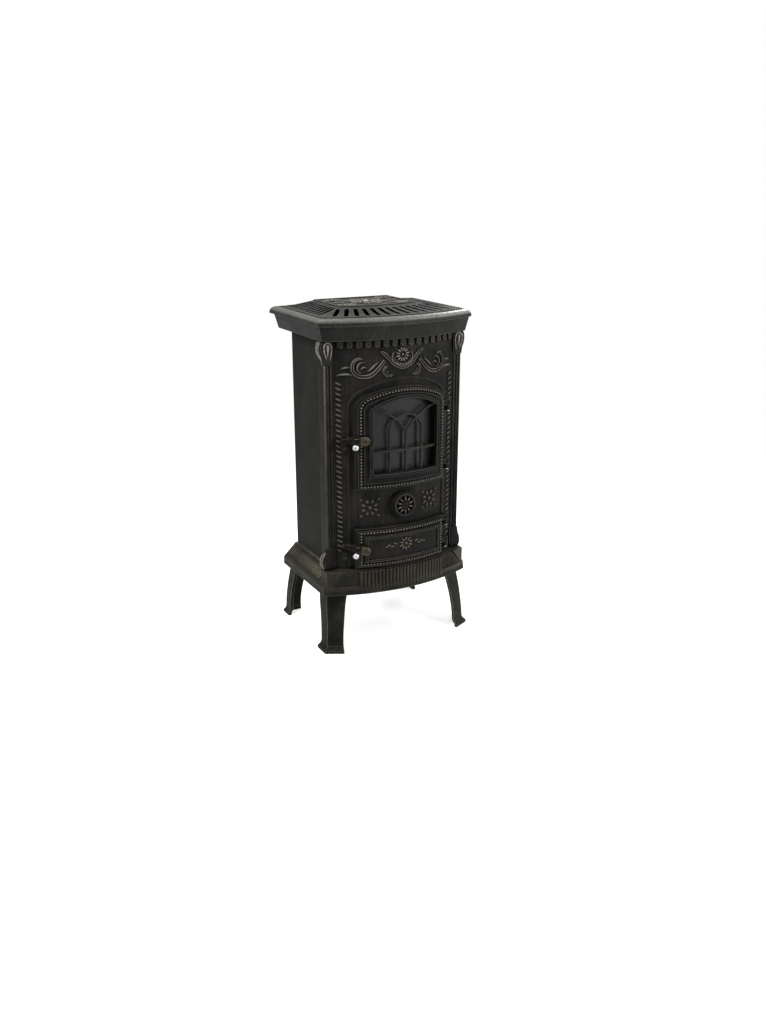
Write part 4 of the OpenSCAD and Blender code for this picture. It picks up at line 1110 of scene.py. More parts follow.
@dataclass
class FrontRelief:
    """Ornament cast on the bowed front panel.

    Attributes:
        rope_x: Distance of the rope strips from the middle.
        rope_low: Height of their feet.
        rope_high: Height of their heads.
        rope_pitch: Spacing of their strokes.
        rope_turn: Slant of their strokes, in degrees.
        stroke_size: Length, width and height of one stroke.
        flower_x: Distance of the two flowers from the middle.
        flower_z: Their height.
        medallion_z: Height of the medallion's middle.
        post_reeds: Distance from the middle and half width of each reed on
            the corner posts.
        post_y: Their distance behind the reference line.
        post_low: Height of their feet.
        post_high: Height of their heads.
        post_lit: Heights between which a painted highlight brightens them, and the
        share of bronze that their feet have.
        post_edge: Distance from the middle at which a post's outer edge
            starts, and how far on the edge has its full bronze.
        dentils: Number of dentils under the rim.
        dentil_span: Distance of the last dentil from the middle.
        dentil_low: Height of their tips.
        dentil_high: Height of their heads.
        dentil_share: Their width, as a share of their spacing.
        dentil_inset: How far their raised faces stay inside their sides.
        dentil_p: Distance of their faces in front of the bare face.
        arch: Half width, foot, crown, rise and shoulder of the line round
            the doors.
        hinge_z: Height on the right below which the hinges take its place.
    """

    rope_x: float = 140.8
    rope_low: float = 240.0
    rope_high: float = 624.0
    rope_pitch: float = 11.65
    rope_turn: float = 27.0
    stroke_size: tuple[float, float, float] = (14.8, 5.4, 3.4)
    flower_x: float = 77.0
    flower_z: float = 340.0
    medallion_z: float = 682.2
    post_reeds: tuple[tuple[float, float], ...] = ((155.6, 2.2), (163.4, 2.2), (168.4, 3.4))
    post_y: float = -111.3
    post_low: float = 247.0
    post_high: float = 668.0
    post_lit: tuple[float, float, float] = (420.0, 620.0, 0.35)
    post_edge: tuple[float, float] = (167.5, 2.5)
    dentils: int = 15
    dentil_span: float = 137.0
    dentil_low: float = 700.0
    dentil_high: float = 717.0
    dentil_share: float = 0.7
    dentil_inset: float = 0.8
    dentil_p: float = 3.8
    arch: tuple[float, float, float, float, float] = (122.5, 203.0, 631.0, 63.5, 43.5)
    hinge_z: float = 600.0

    def ropes(self) -> None:
        """Builds the two strips of slanting rope strokes."""
        length, width, height = self.stroke_size
        count = round((self.rope_high - self.rope_low) / self.rope_pitch)
        for side, name in ((-1, "rope_strip_left"), (1, "rope_strip_right")):
            turn = side * math.radians(self.rope_turn)
            places = [at(side * self.rope_x, self.rope_low + k * self.rope_pitch, turn)
                      for k in range(count + 1)]
            piece = stamp(stroke(length, width, height), places, name)
            hand_over(lay_on(piece, Bow(), height), "stove", Finish.RELIEF)

    def post_bronze_and_highlight(self, place: Vector, had: float) -> float:
        """Finds the bronze on a corner post, with a painted highlight towards its head: most at its head and
        on its outer edge.

        Args:
            place: A place on the post.
            had: The bronze that the place had.

        Returns:
            The bronze that it takes.
        """
        start, end, least = self.post_lit
        head = fade(place.z, start, end, least)
        edge, full = self.post_edge
        out = abs(place.x) - edge
        return head * (fade(out, 0.0, full) if out > 0 else 0.6 * had)

    def posts(self) -> None:
        """Builds the rounded reeds down the corner posts, painted brightest at their heads."""
        face = Plane(Vector((0, HOME + self.post_y, 0)), ACROSS, UP)
        for side, name in ((-1, "post_reeds_left"), (1, "post_reeds_right")):
            reeds = [ridge(straight((side * x, self.post_low), (side * x, self.post_high), 24), half)
                     for x, half in self.post_reeds]
            piece = lay_on(weld(reeds, name), face, 2.6)
            brush(piece, self.post_bronze_and_highlight)
            hand_over(piece, "stove", Finish.RELIEF)

    def dentil_faces(self) -> None:
        """Builds the raised faces of the dentils under the rim."""
        pitch = 2 * math.asin(self.dentil_span / FACE_RADIUS) / (self.dentils - 1)
        wide = FACE_RADIUS * math.sin(pitch) * self.dentil_share
        faces = []
        for k in range(self.dentils):
            turn = (k - (self.dentils - 1) / 2) * pitch
            half = wide * math.cos(turn) / 2 - self.dentil_inset
            tip = arc((0.0, self.dentil_low + wide / 2), half, math.pi, 2 * math.pi, 9)
            outline = tip + [(half, self.dentil_high), (-half, self.dentil_high)]
            # the face is dished: it rises to a rim and falls again inside it
            tooth = mound(outline, ((0.0, 1.0), (0.8, 0.97), (1.6, 0.86), (1.9, 0.7), (1.3, 0.5), (1.1, 0.2)))
            faces.append(stamp(tooth, [at(FACE_RADIUS * math.sin(turn), 0)], "tooth"))
        piece = weld(faces, "dentil_faces")
        hand_over(lay_on(piece, Bow(self.dentil_p), 1.7), "stove", Finish.TOOTH)

    def door_frame(self) -> None:
        """Builds the rounded line that frames both doors, clear of the hinges."""
        foot = self.arch[1] + 0.5
        kept = [point for point in arch_line(*self.arch)
                if point[1] > (self.hinge_z if point[0] > 0 else foot)]
        # the line runs on in order of its turn about the doors' middle
        kept.sort(key=lambda point: math.atan2(point[1] - 420.0, point[0]) % (2 * math.pi))
        piece = ridge(kept, 2.7, 1.25)
        piece.name = "door_frame_line"
        hand_over(lay_on(piece, Bow(0.4), 6.0), "stove", Finish.MOULDING)

    @staticmethod
    def flower(petals: int, inner: float, outer: float, width: float, height: float) -> Shape:
        """Models one flower about the board's middle.

        Args:
            petals: Number of its petals.
            inner: Distance of their roots from the middle.
            outer: Distance of their tips.
            width: Their width.
            height: Their rise.

        Returns:
            The flower.
        """
        petal = leaf(outer - inner, width, height, inner, 14, 0.62)
        return bloom(petal, petals, boss(inner * 0.66, height * 1.1, 14))

    def flowers(self) -> None:
        """Builds the two flowers beside the air disc, each with four corner leaves."""
        for side, name in ((-1, "flower_left"), (1, "flower_right")):
            head = self.flower(petals=8, inner=8.2, outer=21.0, width=9.4, height=3.8)
            corner = leaf(length=11.5, width=7.6, height=3.2, root=21.5, sides=14, belly=0.58)
            piece = weld([head, stamp(corner, fan(45, 90, 4), "corners")], name)
            piece = stamp(piece, [at(side * self.flower_x, self.flower_z)], name)
            hand_over(lay_on(piece, Bow(), 3.4), "stove", Finish.FLOWER)

    @staticmethod
    def half_swag() -> list[Shape]:
        """Models the left half of the swag.

        Returns:
            Its bands, scroll, curls and leaves.
        """
        bands = (
            # main scroll, from its tip round and up to the middle
            ([(-91, 676, 1.2), (-98, 678, 2.0), (-106, 675, 2.8), (-111.3, 668, 3.4), (-112.8, 658, 3.8),
              (-109.5, 648, 4.2), (-101, 641, 4.6), (-90, 638.3, 5.0), (-78, 639.6, 5.0), (-67.5, 645, 5.0),
              (-58, 654, 4.8), (-49.5, 663.5, 4.2), (-43, 672, 3.2)], 4.4),
            # band of the middle's cup
            ([(-52, 690, 1.8), (-46.5, 688, 4.0), (-39, 682, 4.6), (-31.5, 673.5, 4.0), (-23, 664.5, 3.7),
              (-13.5, 658, 3.6), (-5, 655, 3.6), (1, 654.6, 3.6)], 4.8),
            # curl below it
            ([(-35, 660, 1.0), (-41.5, 655.5, 2.2), (-44.5, 648, 3.0), (-41, 640.5, 3.2), (-32.5, 637.2, 2.8),
              (-25, 639.5, 1.8)], 3.6),
        )
        lines = (
            ([(-84, 668.6, 1.0), (-91, 669.8, 1.8), (-97.8, 667.3, 2.2), (-101.8, 661, 2.3),
              (-101.8, 653.3, 2.2), (-97.5, 648, 2.0), (-91, 646.6, 1.2)], 3.6),
            ([(-97, 651.5, 0.9), (-93, 656.6, 1.8), (-88, 659, 2.0), (-81, 657, 1.0)], 4.0),
            ([(-85, 648.5, 0.9), (-77, 652, 2.0), (-70.5, 657.4, 2.4), (-65.5, 662.5, 2.4), (-60, 666.5, 2.0),
              (-55, 672.5, 0.9)], 3.8),
            ([(-36.5, 652.5, 0.9), (-37, 646.5, 1.6), (-31, 644, 1.2)], 2.8),
            ([(-54, 645, 0.8), (-48.5, 650.5, 2.0), (-43.5, 658, 2.2), (-37.5, 666, 1.2)], 3.0),
            ([(-17, 690.5, 1.0), (-22.5, 686.5, 1.9), (-25.5, 679.5, 2.2), (-24, 671.5, 2.2),
              (-18, 665.3, 2.2), (-9.5, 661.8, 2.2), (1, 660.8, 2.2)], 3.6),
            ([(-148, 640, 0.7), (-138, 643.6, 2.6), (-126, 645, 3.2), (-115.5, 643.4, 2.4),
              (-107.5, 638, 1.0)], 4.0),
            ([(-139, 653.4, 0.7), (-131.5, 657.6, 2.4), (-124, 659.6, 2.8), (-115, 658.6, 1.2)], 3.8),
        )
        shapes = [ribbon(knots, height) for knots, height in bands]
        for knots, height in lines:
            line = smooth_line(knots, 6)
            widths = [max(0.5, point[2]) for point in line]
            shapes.append(ridge([point[:2] for point in line], widths, height / max(widths)))
        return shapes

    def swag(self) -> None:
        """Builds the swag over the doors, with its medallion."""
        piece = stamp(weld(self.half_swag(), "swag_half"), BOTH_HALVES, "swag")
        hand_over(lay_on(piece, Bow(), 4.4), "stove", Finish.SCROLL)
        head = self.flower(petals=12, inner=5.0, outer=17.5, width=5.4, height=4.6)
        scallop = leaf(length=5.0, width=3.6, height=3.4, root=18.2, sides=10)
        ring = stamp(scallop, fan(195, 15, 11), "scallops")
        piece = stamp(weld([head, ring], "medallion"), [at(0, self.medallion_z)], "medallion")
        hand_over(lay_on(piece, Bow(), 4.4), "stove", Finish.SCROLL)

    def build(self) -> None:
        """Builds all the front's ornament."""
        self.ropes()
        self.posts()
        self.dentil_faces()
        self.door_frame()
        self.flowers()
        self.swag()


@dataclass
class CornerScrolls:
    """Scrolled brackets at the heads and feet of the corner posts.

    Attributes:
        middle_x: Distance of a bracket's middle line from the stove's.
        middle_y: Its distance behind the reference line, negative in front.
        square: How square its section is; 2 makes it an ellipse.
        gap: Distance of a bracket's head from the frame or base it touches.
        levels: Height under the bracket's head, half width, half depth and
            the shift of its middle in x and in y, going down.
    """

    middle_x: float = 165.8
    middle_y: float = -104.2
    square: float = 5.0
    gap: float = 0.4
    levels: tuple[tuple[float, float, float, float, float], ...] = (
        (0.4, 10.0, 8.0, 0.0, 0.0), (1.6, 12.5, 10.0, 0.0, 0.0), (4.0, 13.9, 11.6, 0.0, 0.0),
        (8.0, 14.8, 12.6, 0.0, 0.0), (14.0, 15.0, 12.8, 0.0, 0.0), (20.0, 15.0, 12.8, 0.0, 0.0),
        (25.0, 14.6, 12.4, -0.2, -0.3), (30.0, 13.6, 11.0, -0.6, -1.2), (34.0, 12.4, 9.4, -1.2, -2.4),
        (38.0, 11.6, 8.0, -1.6, -3.4), (43.0, 11.0, 7.0, -1.9, -4.2), (48.0, 10.6, 6.3, -2.1, -4.8),
        (51.0, 9.6, 5.6, -2.2, -5.2), (53.0, 7.6, 4.4, -2.4, -5.8),
    )

    def level(self, drop: float) -> tuple[float, float, float, float]:
        """Measures the bracket at a height.

        Args:
            drop: Distance below its head.

        Returns:
            Its half width and half depth, and its middle in x and in y.
        """
        for low, high in zip(self.levels, self.levels[1:]):
            if drop <= high[0]:
                break
        t = fade(drop, low[0], high[0])
        mix = [a + (b - a) * t for a, b in zip(low[1:], high[1:])]
        return mix[0], mix[1], self.middle_x + mix[2], self.middle_y + mix[3]

    def core(self) -> Shape:
        """Models the bracket's swelling body, on the right.

        Returns:
            The body, with its head at height 0.
        """
        bpy.ops.mesh.primitive_uv_sphere_add(segments=40, ring_count=len(self.levels) + 1, radius=1)
        piece = bpy.context.object
        rings = sorted({round(v.co.z, 4) for v in piece.data.vertices}, reverse=True)
        for vertex in piece.data.vertices:
            ring = rings.index(round(vertex.co.z, 4))
            if ring in (0, len(rings) - 1):
                edge = self.levels[0 if ring == 0 else -1]
                vertex.co = (self.middle_x + edge[3], self.middle_y + edge[4], -edge[0])
                continue
            drop, half, deep, shift_x, shift_y = self.levels[ring - 1]
            x, y = squarish(math.atan2(vertex.co.y, vertex.co.x), 2 / self.square)
            vertex.co = (self.middle_x + shift_x + half * x, self.middle_y + shift_y + deep * y, -drop)
        put_right(piece)
        return piece

    def on_front(self, x: float, drop: float, lift: float) -> tuple[float, float, float]:
        """Finds a point of the bracket's front.

        Args:
            x: Where it is across the front.
            drop: Distance below the head.
            lift: Distance off the face.

        Returns:
            The point.
        """
        half, deep, mid_x, mid_y = self.level(drop)
        share = min(1.0, abs(x - mid_x) / half) ** self.square
        return x, mid_y - deep * (1 - share) ** (1 / self.square) - lift, -drop

    def on_side(self, y: float, drop: float, lift: float) -> tuple[float, float, float]:
        """Finds a point of the bracket's outer side.

        Args:
            y: Where it is along the side.
            drop: Distance below the head.
            lift: Distance off the face.

        Returns:
            The point.
        """
        half, deep, mid_x, mid_y = self.level(drop)
        share = min(1.0, abs(y - mid_y) / deep) ** self.square
        return mid_x + half * (1 - share) ** (1 / self.square) + lift, y, -drop

    def ridges(self, lines: Sequence[Sequence[tuple[float, float, float]]],
               spot: Callable[[float, float, float], tuple[float, float, float]]) -> list[Shape]:
        """Models raised lines on one face of the bracket.

        Args:
            lines: Place along the face, drop and half width at each knot.
            spot: Finds the face's point for a place, a drop and a lift.

        Returns:
            The ridges.
        """
        shapes = []
        for knots in lines:
            line = smooth_line(knots, 5)
            points = [spot(along, drop, -0.2) for along, drop, _ in line]
            shapes.append(ridge(points, [width for _, _, width in line]))
        return shapes

    def eye(self) -> Shape:
        """Models the ornament on the bracket's front.

        Returns:
            The drop and the ring round it.
        """
        drop = [(163.6, 7.5, 1.6), (163.4, 11.0, 3.1), (163.4, 16.0, 3.3), (163.5, 21.0, 2.4),
                (163.6, 27.0, 1.5), (163.8, 33.0, 0.8)]
        ring = [(158.6, 41.0, 0.9), (156.0, 31.0, 1.2), (154.6, 21.0, 1.4), (155.2, 12.0, 1.5),
                (158.6, 5.4, 1.6), (164.0, 3.6, 1.6), (169.6, 6.0, 1.7), (172.4, 13.0, 1.7),
                (171.8, 22.0, 1.6), (169.0, 31.0, 1.4), (165.6, 39.0, 1.0)]
        return weld(self.ridges([drop, ring], self.on_front), "eye")

    def prongs(self) -> Shape:
        """Models the ornament on the bracket's outer side.

        Returns:
            The two long prongs.
        """
        back = [(-99.0, 3.2, 1.4), (-94.6, 12.0, 2.2), (-93.8, 21.0, 2.4), (-99.0, 31.0, 2.2),
                (-106.0, 40.0, 1.4)]
        front = [(-111.0, 3.2, 1.2), (-106.0, 12.0, 2.0), (-104.0, 20.0, 2.3), (-106.5, 30.0, 2.2),
                 (-110.5, 42.0, 1.6)]
        return weld(self.ridges([back, front], self.on_side), "prongs")

    def bronze(self, place: Vector, drop: float, most: float) -> float:
        """Finds the bronze on the bracket's body: most on its outer side, at the rear.

        Args:
            place: A place on the body.
            drop: Its distance below the head.
            most: The most that the body takes.

        Returns:
            The bronze that the place takes.
        """
        half, deep, middle, mid_y = self.level(drop)
        side = fade((abs(place.x) - middle) / half, 0.72, 0.97)
        rear = fade((place.y - HOME - mid_y) / deep, -0.55, 0.05)
        return 0.05 + most * side * rear

    def build(self) -> None:
        """Builds the four brackets; the feet have plain fronts."""
        masters = {"": self.core(), "_prongs": self.prongs(), "_eye": self.eye()}
        for name, level, way, most in (("capital", TOP_Z - self.gap, 1, 0.6),
                                       ("foot_scroll", DECK_Z + self.gap, -1, 0.12)):
            place = Matrix.Translation((0, HOME, level)) @ Matrix.Scale(way, 4, UP)
            for side, turned in (("left", MIRROR), ("right", Matrix.Identity(4))):
                for part, master in masters.items():
                    if part == "_eye" and way < 0:
                        continue
                    piece = stamp(master, [turned @ place], f"{name}{part}_{side}", keep=True)
                    piece.data.attributes.new(GILT_AND_LIGHT, "FLOAT", "POINT")
                    piece.data.transform(Matrix.Scale(MM, 4))
                    brush(piece, lambda spot, _: 1.0 if part
                          else self.bronze(spot, way * (level - spot.z), most))
                    put_right(piece)
                    take(piece)
                    bpy.ops.object.shade_smooth()
                    # painted shade: the feet's bodies take the plain finish, without bronze on their relief
                    hand_over(piece, "stove", Finish.CATCH if way < 0 and not part else Finish.SCROLL)
        for master in masters.values():
            bpy.data.objects.remove(master)


# ---------------------------------------------------------------- doors


@dataclass
class BeadedDoor:
    """What both doors share: a line of beads on a step, broken by the latch.

    Attributes:
        body: The door's leaf.
        latch_z: Heights between which the latch's plate takes their place.
        latch_x: How far from the left it does so.
        bead_r: Radius of one bead.
        bead_pitch: Spacing of the beads.
        step_p: Distance of the step in front of the bare face.
        field_p: Distance of the door's field in front of it.
    """

    body: str
    latch_z: tuple[float, float]
    latch_x: float = -80.0
    bead_r: float = 2.8
    bead_pitch: float = 7.15
    step_p: float = 18.0
    field_p: float = 22.0

    def bead_row(self, places: Sequence[Vector], name: str) -> None:
        """Builds beads at places on the door's step.

        Args:
            places: Where the beads go, apart from behind the latch.
            name: The row's name.
        """
        low, high = self.latch_z
        spots = [at(p.x, p.y) for p in places if not (p.x < self.latch_x and low < p.y < high)]
        piece = stamp(bead(self.bead_r), spots, name)
        hand_over(lay_on(piece, Bow(self.step_p + 0.4), 1.3 * self.bead_r, 80), self.body, Finish.BEAD)


@dataclass
class FireDoorRelief(BeadedDoor):
    """Beading, window moulding and rounded tracery of the fire door.

    Attributes:
        beads: Half width, foot, crown, rise and shoulder of the bead line.
        crest_p: Distance of the window's crest in front of the bare face.
        bars_p: Distance of the window bars' faces in front of it.
        window_half: Half the window's width.
        window_low: Height of its sill.
        window_high: Height of its crown.
        window_rise: Rise of its arch.
        window_shoulder: Radius of its shoulders.
        window_rims: How far outside it each moulding runs, with the
            moulding's half width and height.
        field_line: Half width, foot, crown, rise and shoulder of the line
            round the door's field.
        bar_half: Half width of a bar's cap.
        cross_up: Height of the level bar above the sill.
        meet_up: Height above the sill at which the middle bar forks.
        spring_up: Height above it from which the middle arch springs.
        head_up: Height of that arch's crown above it.
    """

    body: str = "fire_door_leaf"
    latch_z: tuple[float, float] = (489.0, 515.0)
    beads: tuple[float, float, float, float, float] = (103.0, 394.0, 607.4, 42.0, 27.0)
    crest_p: float = 28.0
    bars_p: float = 21.0
    window_half: float = 80.0
    window_low: float = 424.0
    window_high: float = 590.5
    window_rise: float = 27.0
    window_shoulder: float = 4.0
    window_rims: tuple[tuple[float, float, float], ...] = ((1.6, 1.7, 1.7), (6.6, 1.4, 1.3))
    field_line: tuple[float, float, float, float, float] = (97.0, 402.5, 601.0, 36.0, 20.0)
    bar_half: float = 2.25
    cross_up: float = 49.0
    meet_up: float = 88.0
    spring_up: float = 100.0
    head_up: float = 130.0

    def moulding(self) -> None:
        """Builds the rounded mouldings round the window and round the door's field."""
        rims = []
        for grow, half, height in self.window_rims:
            line = arch_line(self.window_half + grow, self.window_low - grow, self.window_high + grow,
                             self.window_rise + grow, self.window_shoulder + grow)
            rims.append(ridge(line, half, height / half, True))
        piece = weld(rims, "window_moulding")
        hand_over(lay_on(piece, Bow(self.crest_p), 1.5), self.body, Finish.MOULDING)
        edge = ridge(arch_line(*self.field_line), 1.5, 0.9, True)
        edge.name = "door_field_moulding"
        hand_over(lay_on(edge, Bow(self.field_p), 1.3), self.body, Finish.MOULDING)

    def tracery(self) -> None:
        """Builds the half-round caps of the window bars."""
        half, low = self.window_half, self.window_low
        cross, meet = low + self.cross_up, low + self.meet_up
        spring, head = low + self.spring_up, low + self.head_up
        bar = half / 2
        lines = [straight((x, low), (x, spring), 20) for x in (-bar, bar)]
        lines.append(straight((0, low), (0, meet), 20))
        lines.append(straight((-half, cross), (half, cross), 40))
        # each bough curves from the middle bar's fork to the window's shoulder
        corner = Vector((-half, self.window_high - self.window_rise + 6))
        foot = Vector((0, meet))
        centre = self.circle_through(corner, Vector((-half * 0.41, meet + 38)), foot)
        start, end = (math.atan2(p.y - centre.y, p.x - centre.x) for p in (corner, foot))
        bough = arc((centre.x, centre.y), (corner - centre).length, start, end, 20)
        lines += [bough, [(-x, z) for x, z in bough]]
        # the middle arch joins the two upright bars
        sink = head - (bar ** 2 + (head - spring) ** 2) / (2 * (head - spring))
        lean = math.atan2(spring - sink, bar)
        lines.append(arc((0.0, sink), head - sink, lean, math.pi - lean, 20))
        piece = weld([ridge(line, self.bar_half, 0.95) for line in lines], "window_tracery")
        hand_over(lay_on(piece, Bow(self.bars_p - 0.5), 2.0), self.body, Finish.MOULDING)

    @staticmethod
    def circle_through(a: Vector, b: Vector, c: Vector) -> Vector:
        """Finds a circle through three points.

        Args:
            a: The first point.
            b: The second.
            c: The third.

        Returns:
            The circle's middle.
        """
        twice = 2 * (a.x * (b.y - c.y) + b.x * (c.y - a.y) + c.x * (a.y - b.y))
        x = (a.dot(a) * (b.y - c.y) + b.dot(b) * (c.y - a.y) + c.dot(c) * (a.y - b.y)) / twice
        y = (a.dot(a) * (c.x - b.x) + b.dot(b) * (a.x - c.x) + c.dot(c) * (b.x - a.x)) / twice
        return Vector((x, y))

    def build(self) -> None:
        """Builds all the fire door's ornament."""
        self.bead_row(evenly(arch_line(*self.beads), self.bead_pitch, True), "fire_door_beads")
        self.moulding()
        self.tracery()


@dataclass
class AshDoorRelief(BeadedDoor):
    """Beading, flower and sprays of the ash door.

    Attributes:
        half: Half the width of the bead line.
        low: Height of its lower run.
        high: Height of its upper run.
        flower_z: Height of the flower.
        sprigs: Distance along the stem, turn in degrees and length of each
            leaf of a spray.
    """

    body: str = "ash_door_leaf"
    latch_z: tuple[float, float] = (232.0, 262.0)
    half: float = 104.0
    low: float = 209.5
    high: float = 285.5
    flower_z: float = 252.0
    sprigs: tuple[tuple[float, float, float], ...] = ((21, 24, 14), (28, -22, 14), (36, 20, 12), (42, -4, 11))

    def rows(self) -> list[Vector]:
        """Spaces the beads evenly along each of the four sides.

        Returns:
            Their places.
        """
        corners = box_line(self.half, self.low, self.high)
        return [place for start, end in zip(corners, corners[1:] + corners[:1])
                for place in evenly([start, end], self.bead_pitch)[:-1]]

    @staticmethod
    def stem(x: float) -> float:
        """Returns the height of a spray's waving stem at a distance from the middle."""
        return 1.5 * math.sin(x / 9)

    def flower(self) -> None:
        """Builds the flower and the two sprays beside it."""
        head = bloom(leaf(12.5, 6.0, 3.6, 5.5, 12), 10, boss(4.4, 4.0, 12))
        parts = [ridge([(x, self.stem(x)) for x in range(19, 46)], 1.1)]
        for x, turn, length in self.sprigs:
            blade = leaf(length, 5.2, 3.2, 0.0, 10)
            parts.append(stamp(blade, [at(x, self.stem(x), math.radians(turn))], "blade"))
        sprays = stamp(weld(parts, "spray"), BOTH_HALVES, "sprays")
        piece = weld([head, sprays], "ash_door_flower")
        piece = stamp(piece, [at(0, self.flower_z)], "ash_door_flower")
        hand_over(lay_on(piece, Bow(self.field_p), 3.4), self.body, Finish.RELIEF)

    def build(self) -> None:
        """Builds all the ash door's ornament."""
        self.bead_row(self.rows(), "ash_door_beads")
        self.flower()


@dataclass
class AirDiscRelief:
    """Petals, hub and rim of the turning air disc.

    Attributes:
        body: The disc.
        centre_z: Height of its middle.
        front_p: Distance of its face in front of the bow.
        petals: Number of its petals.
        rim_r: Radius of the rim's middle line.
        hub_r: Radius of the hub ring's middle line.
    """

    body: str = "air_disc"
    centre_z: float = 343.0
    front_p: float = 18.5
    petals: int = 10
    rim_r: float = 24.6
    hub_r: float = 7.4

    def build(self) -> None:
        """Builds the disc's ornament, flat on its face."""
        petal = leaf(length=13.6, width=5.6, height=3.0, root=7.2, sides=12, belly=0.55)
        ring = stamp(petal, fan(180 / self.petals, 360 / self.petals, self.petals, lift=-0.6), "petals")
        rim = ridge(circle(self.rim_r, 60), 3.6, 0.75, True, 4, lift=-1.4)
        hub = ridge(circle(self.hub_r, 24), 1.3, 0.9, True, lift=-0.6)
        piece = weld([ring, rim, hub], "air_disc_petals")
        face = Plane(Vector((0, FACE_AXIS - FACE_RADIUS - self.front_p, self.centre_z)), ACROSS, UP)
        hand_over(lay_on(piece, face, 2.4), self.body, Finish.RELIEF)


@dataclass
class LatchRelief:
    """Rounded root plate, eye, painted shade in the screw hole and painted highlight on the upper edge of one
    latch.

    Attributes:
        body: The latch.
        pivot_z: Height of its pivot.
        raised: How far its arm is raised at rest, in degrees.
        angle: Angle round the bow at which it sits, in degrees.
        face_p: Distance of its root's face in front of the bow.
        plate_p: Distance of the plate's face in front of that.
        eye: Where the hole is on the plate.
    """

    body: str
    pivot_z: float
    raised: float = 0.0
    angle: float = 16.7
    face_p: float = 29.6
    plate_p: float = 2.0
    eye: Flat = (6.2, -0.6)

    def plate(self) -> Shape:
        """Models the plate, rounded inside the circle that it turns through.

        Returns:
            The plate with its lip and eye.
        """
        plate = mound([(-9.4, -10.2), (5.2, -10.1), (8.3, -7.8), (10.3, -4.6), (11.0, 0.0), (10.5, 4.2),
                       (8.6, 7.4), (5.6, 9.9), (-9.4, 9.8)], ((0.0, 1.0), (1.4, 0.98), (self.plate_p, 0.92)))
        eye = ridge(circle(3.6, 15, self.eye), 0.9, 0.8, True, 2, lift=self.plate_p)
        lip = ridge([(-8.4, 8.4), (-2.0, 8.8), (5.0, 8.6), (7.6, 6.6), (9.2, 3.6), (9.8, 0.0), (9.2, -4.0)],
                    0.8, 0.9, lift=self.plate_p)
        return weld([plate, eye, lip], "plate")

    def hole(self) -> Shape:
        """Models a dark disc in the eye, a painted shade for the depth of its hole."""
        return mound(circle(2.5, 15, self.eye), ((self.plate_p + 0.1, 1.0), (self.plate_p + 0.2, 0.9)))

    def edge(self) -> Shape:
        """Models the ridge down the arm's upper edge from the plate, whose bright bronze is a painted
        highlight.
        """
        return ridge([(-45.0, 4.2, -5.2), (-39.0, 4.6, -5.2), (-31.4, 4.8, -4.0), (-24.8, 5.2, -2.4),
                      (-16.0, 5.6, 0.0)], 1.3)

    def build(self) -> None:
        """Builds them on the latch's own board."""
        lean = math.radians(self.angle)
        out = Vector((-math.sin(lean), -math.cos(lean), 0))
        foot = Vector((-FACE_RADIUS * math.sin(lean), FACE_AXIS - FACE_RADIUS * math.cos(lean), self.pivot_z))
        face = Plane(foot + out * self.face_p, Vector((math.cos(lean), -math.sin(lean), 0)), UP)
        turned = at(0, 0, -math.radians(self.raised))
        # the hole's disc is painted shade, and the edge's bright bronze is a painted highlight
        for shape, part, rise, finish in ((self.plate(), "plate", 3.4, Finish.PLATE),
                                          (self.hole(), "hole", 9.0, Finish.SOOT_AND_SHADE),
                                          (self.edge(), "edge", 1.0, Finish.SCROLL)):
            piece = stamp(shape, [turned], f"{self.body}_{part}")
            hand_over(lay_on(piece, face, rise), self.body, finish)


# ---------------------------------------------------------------- top and base


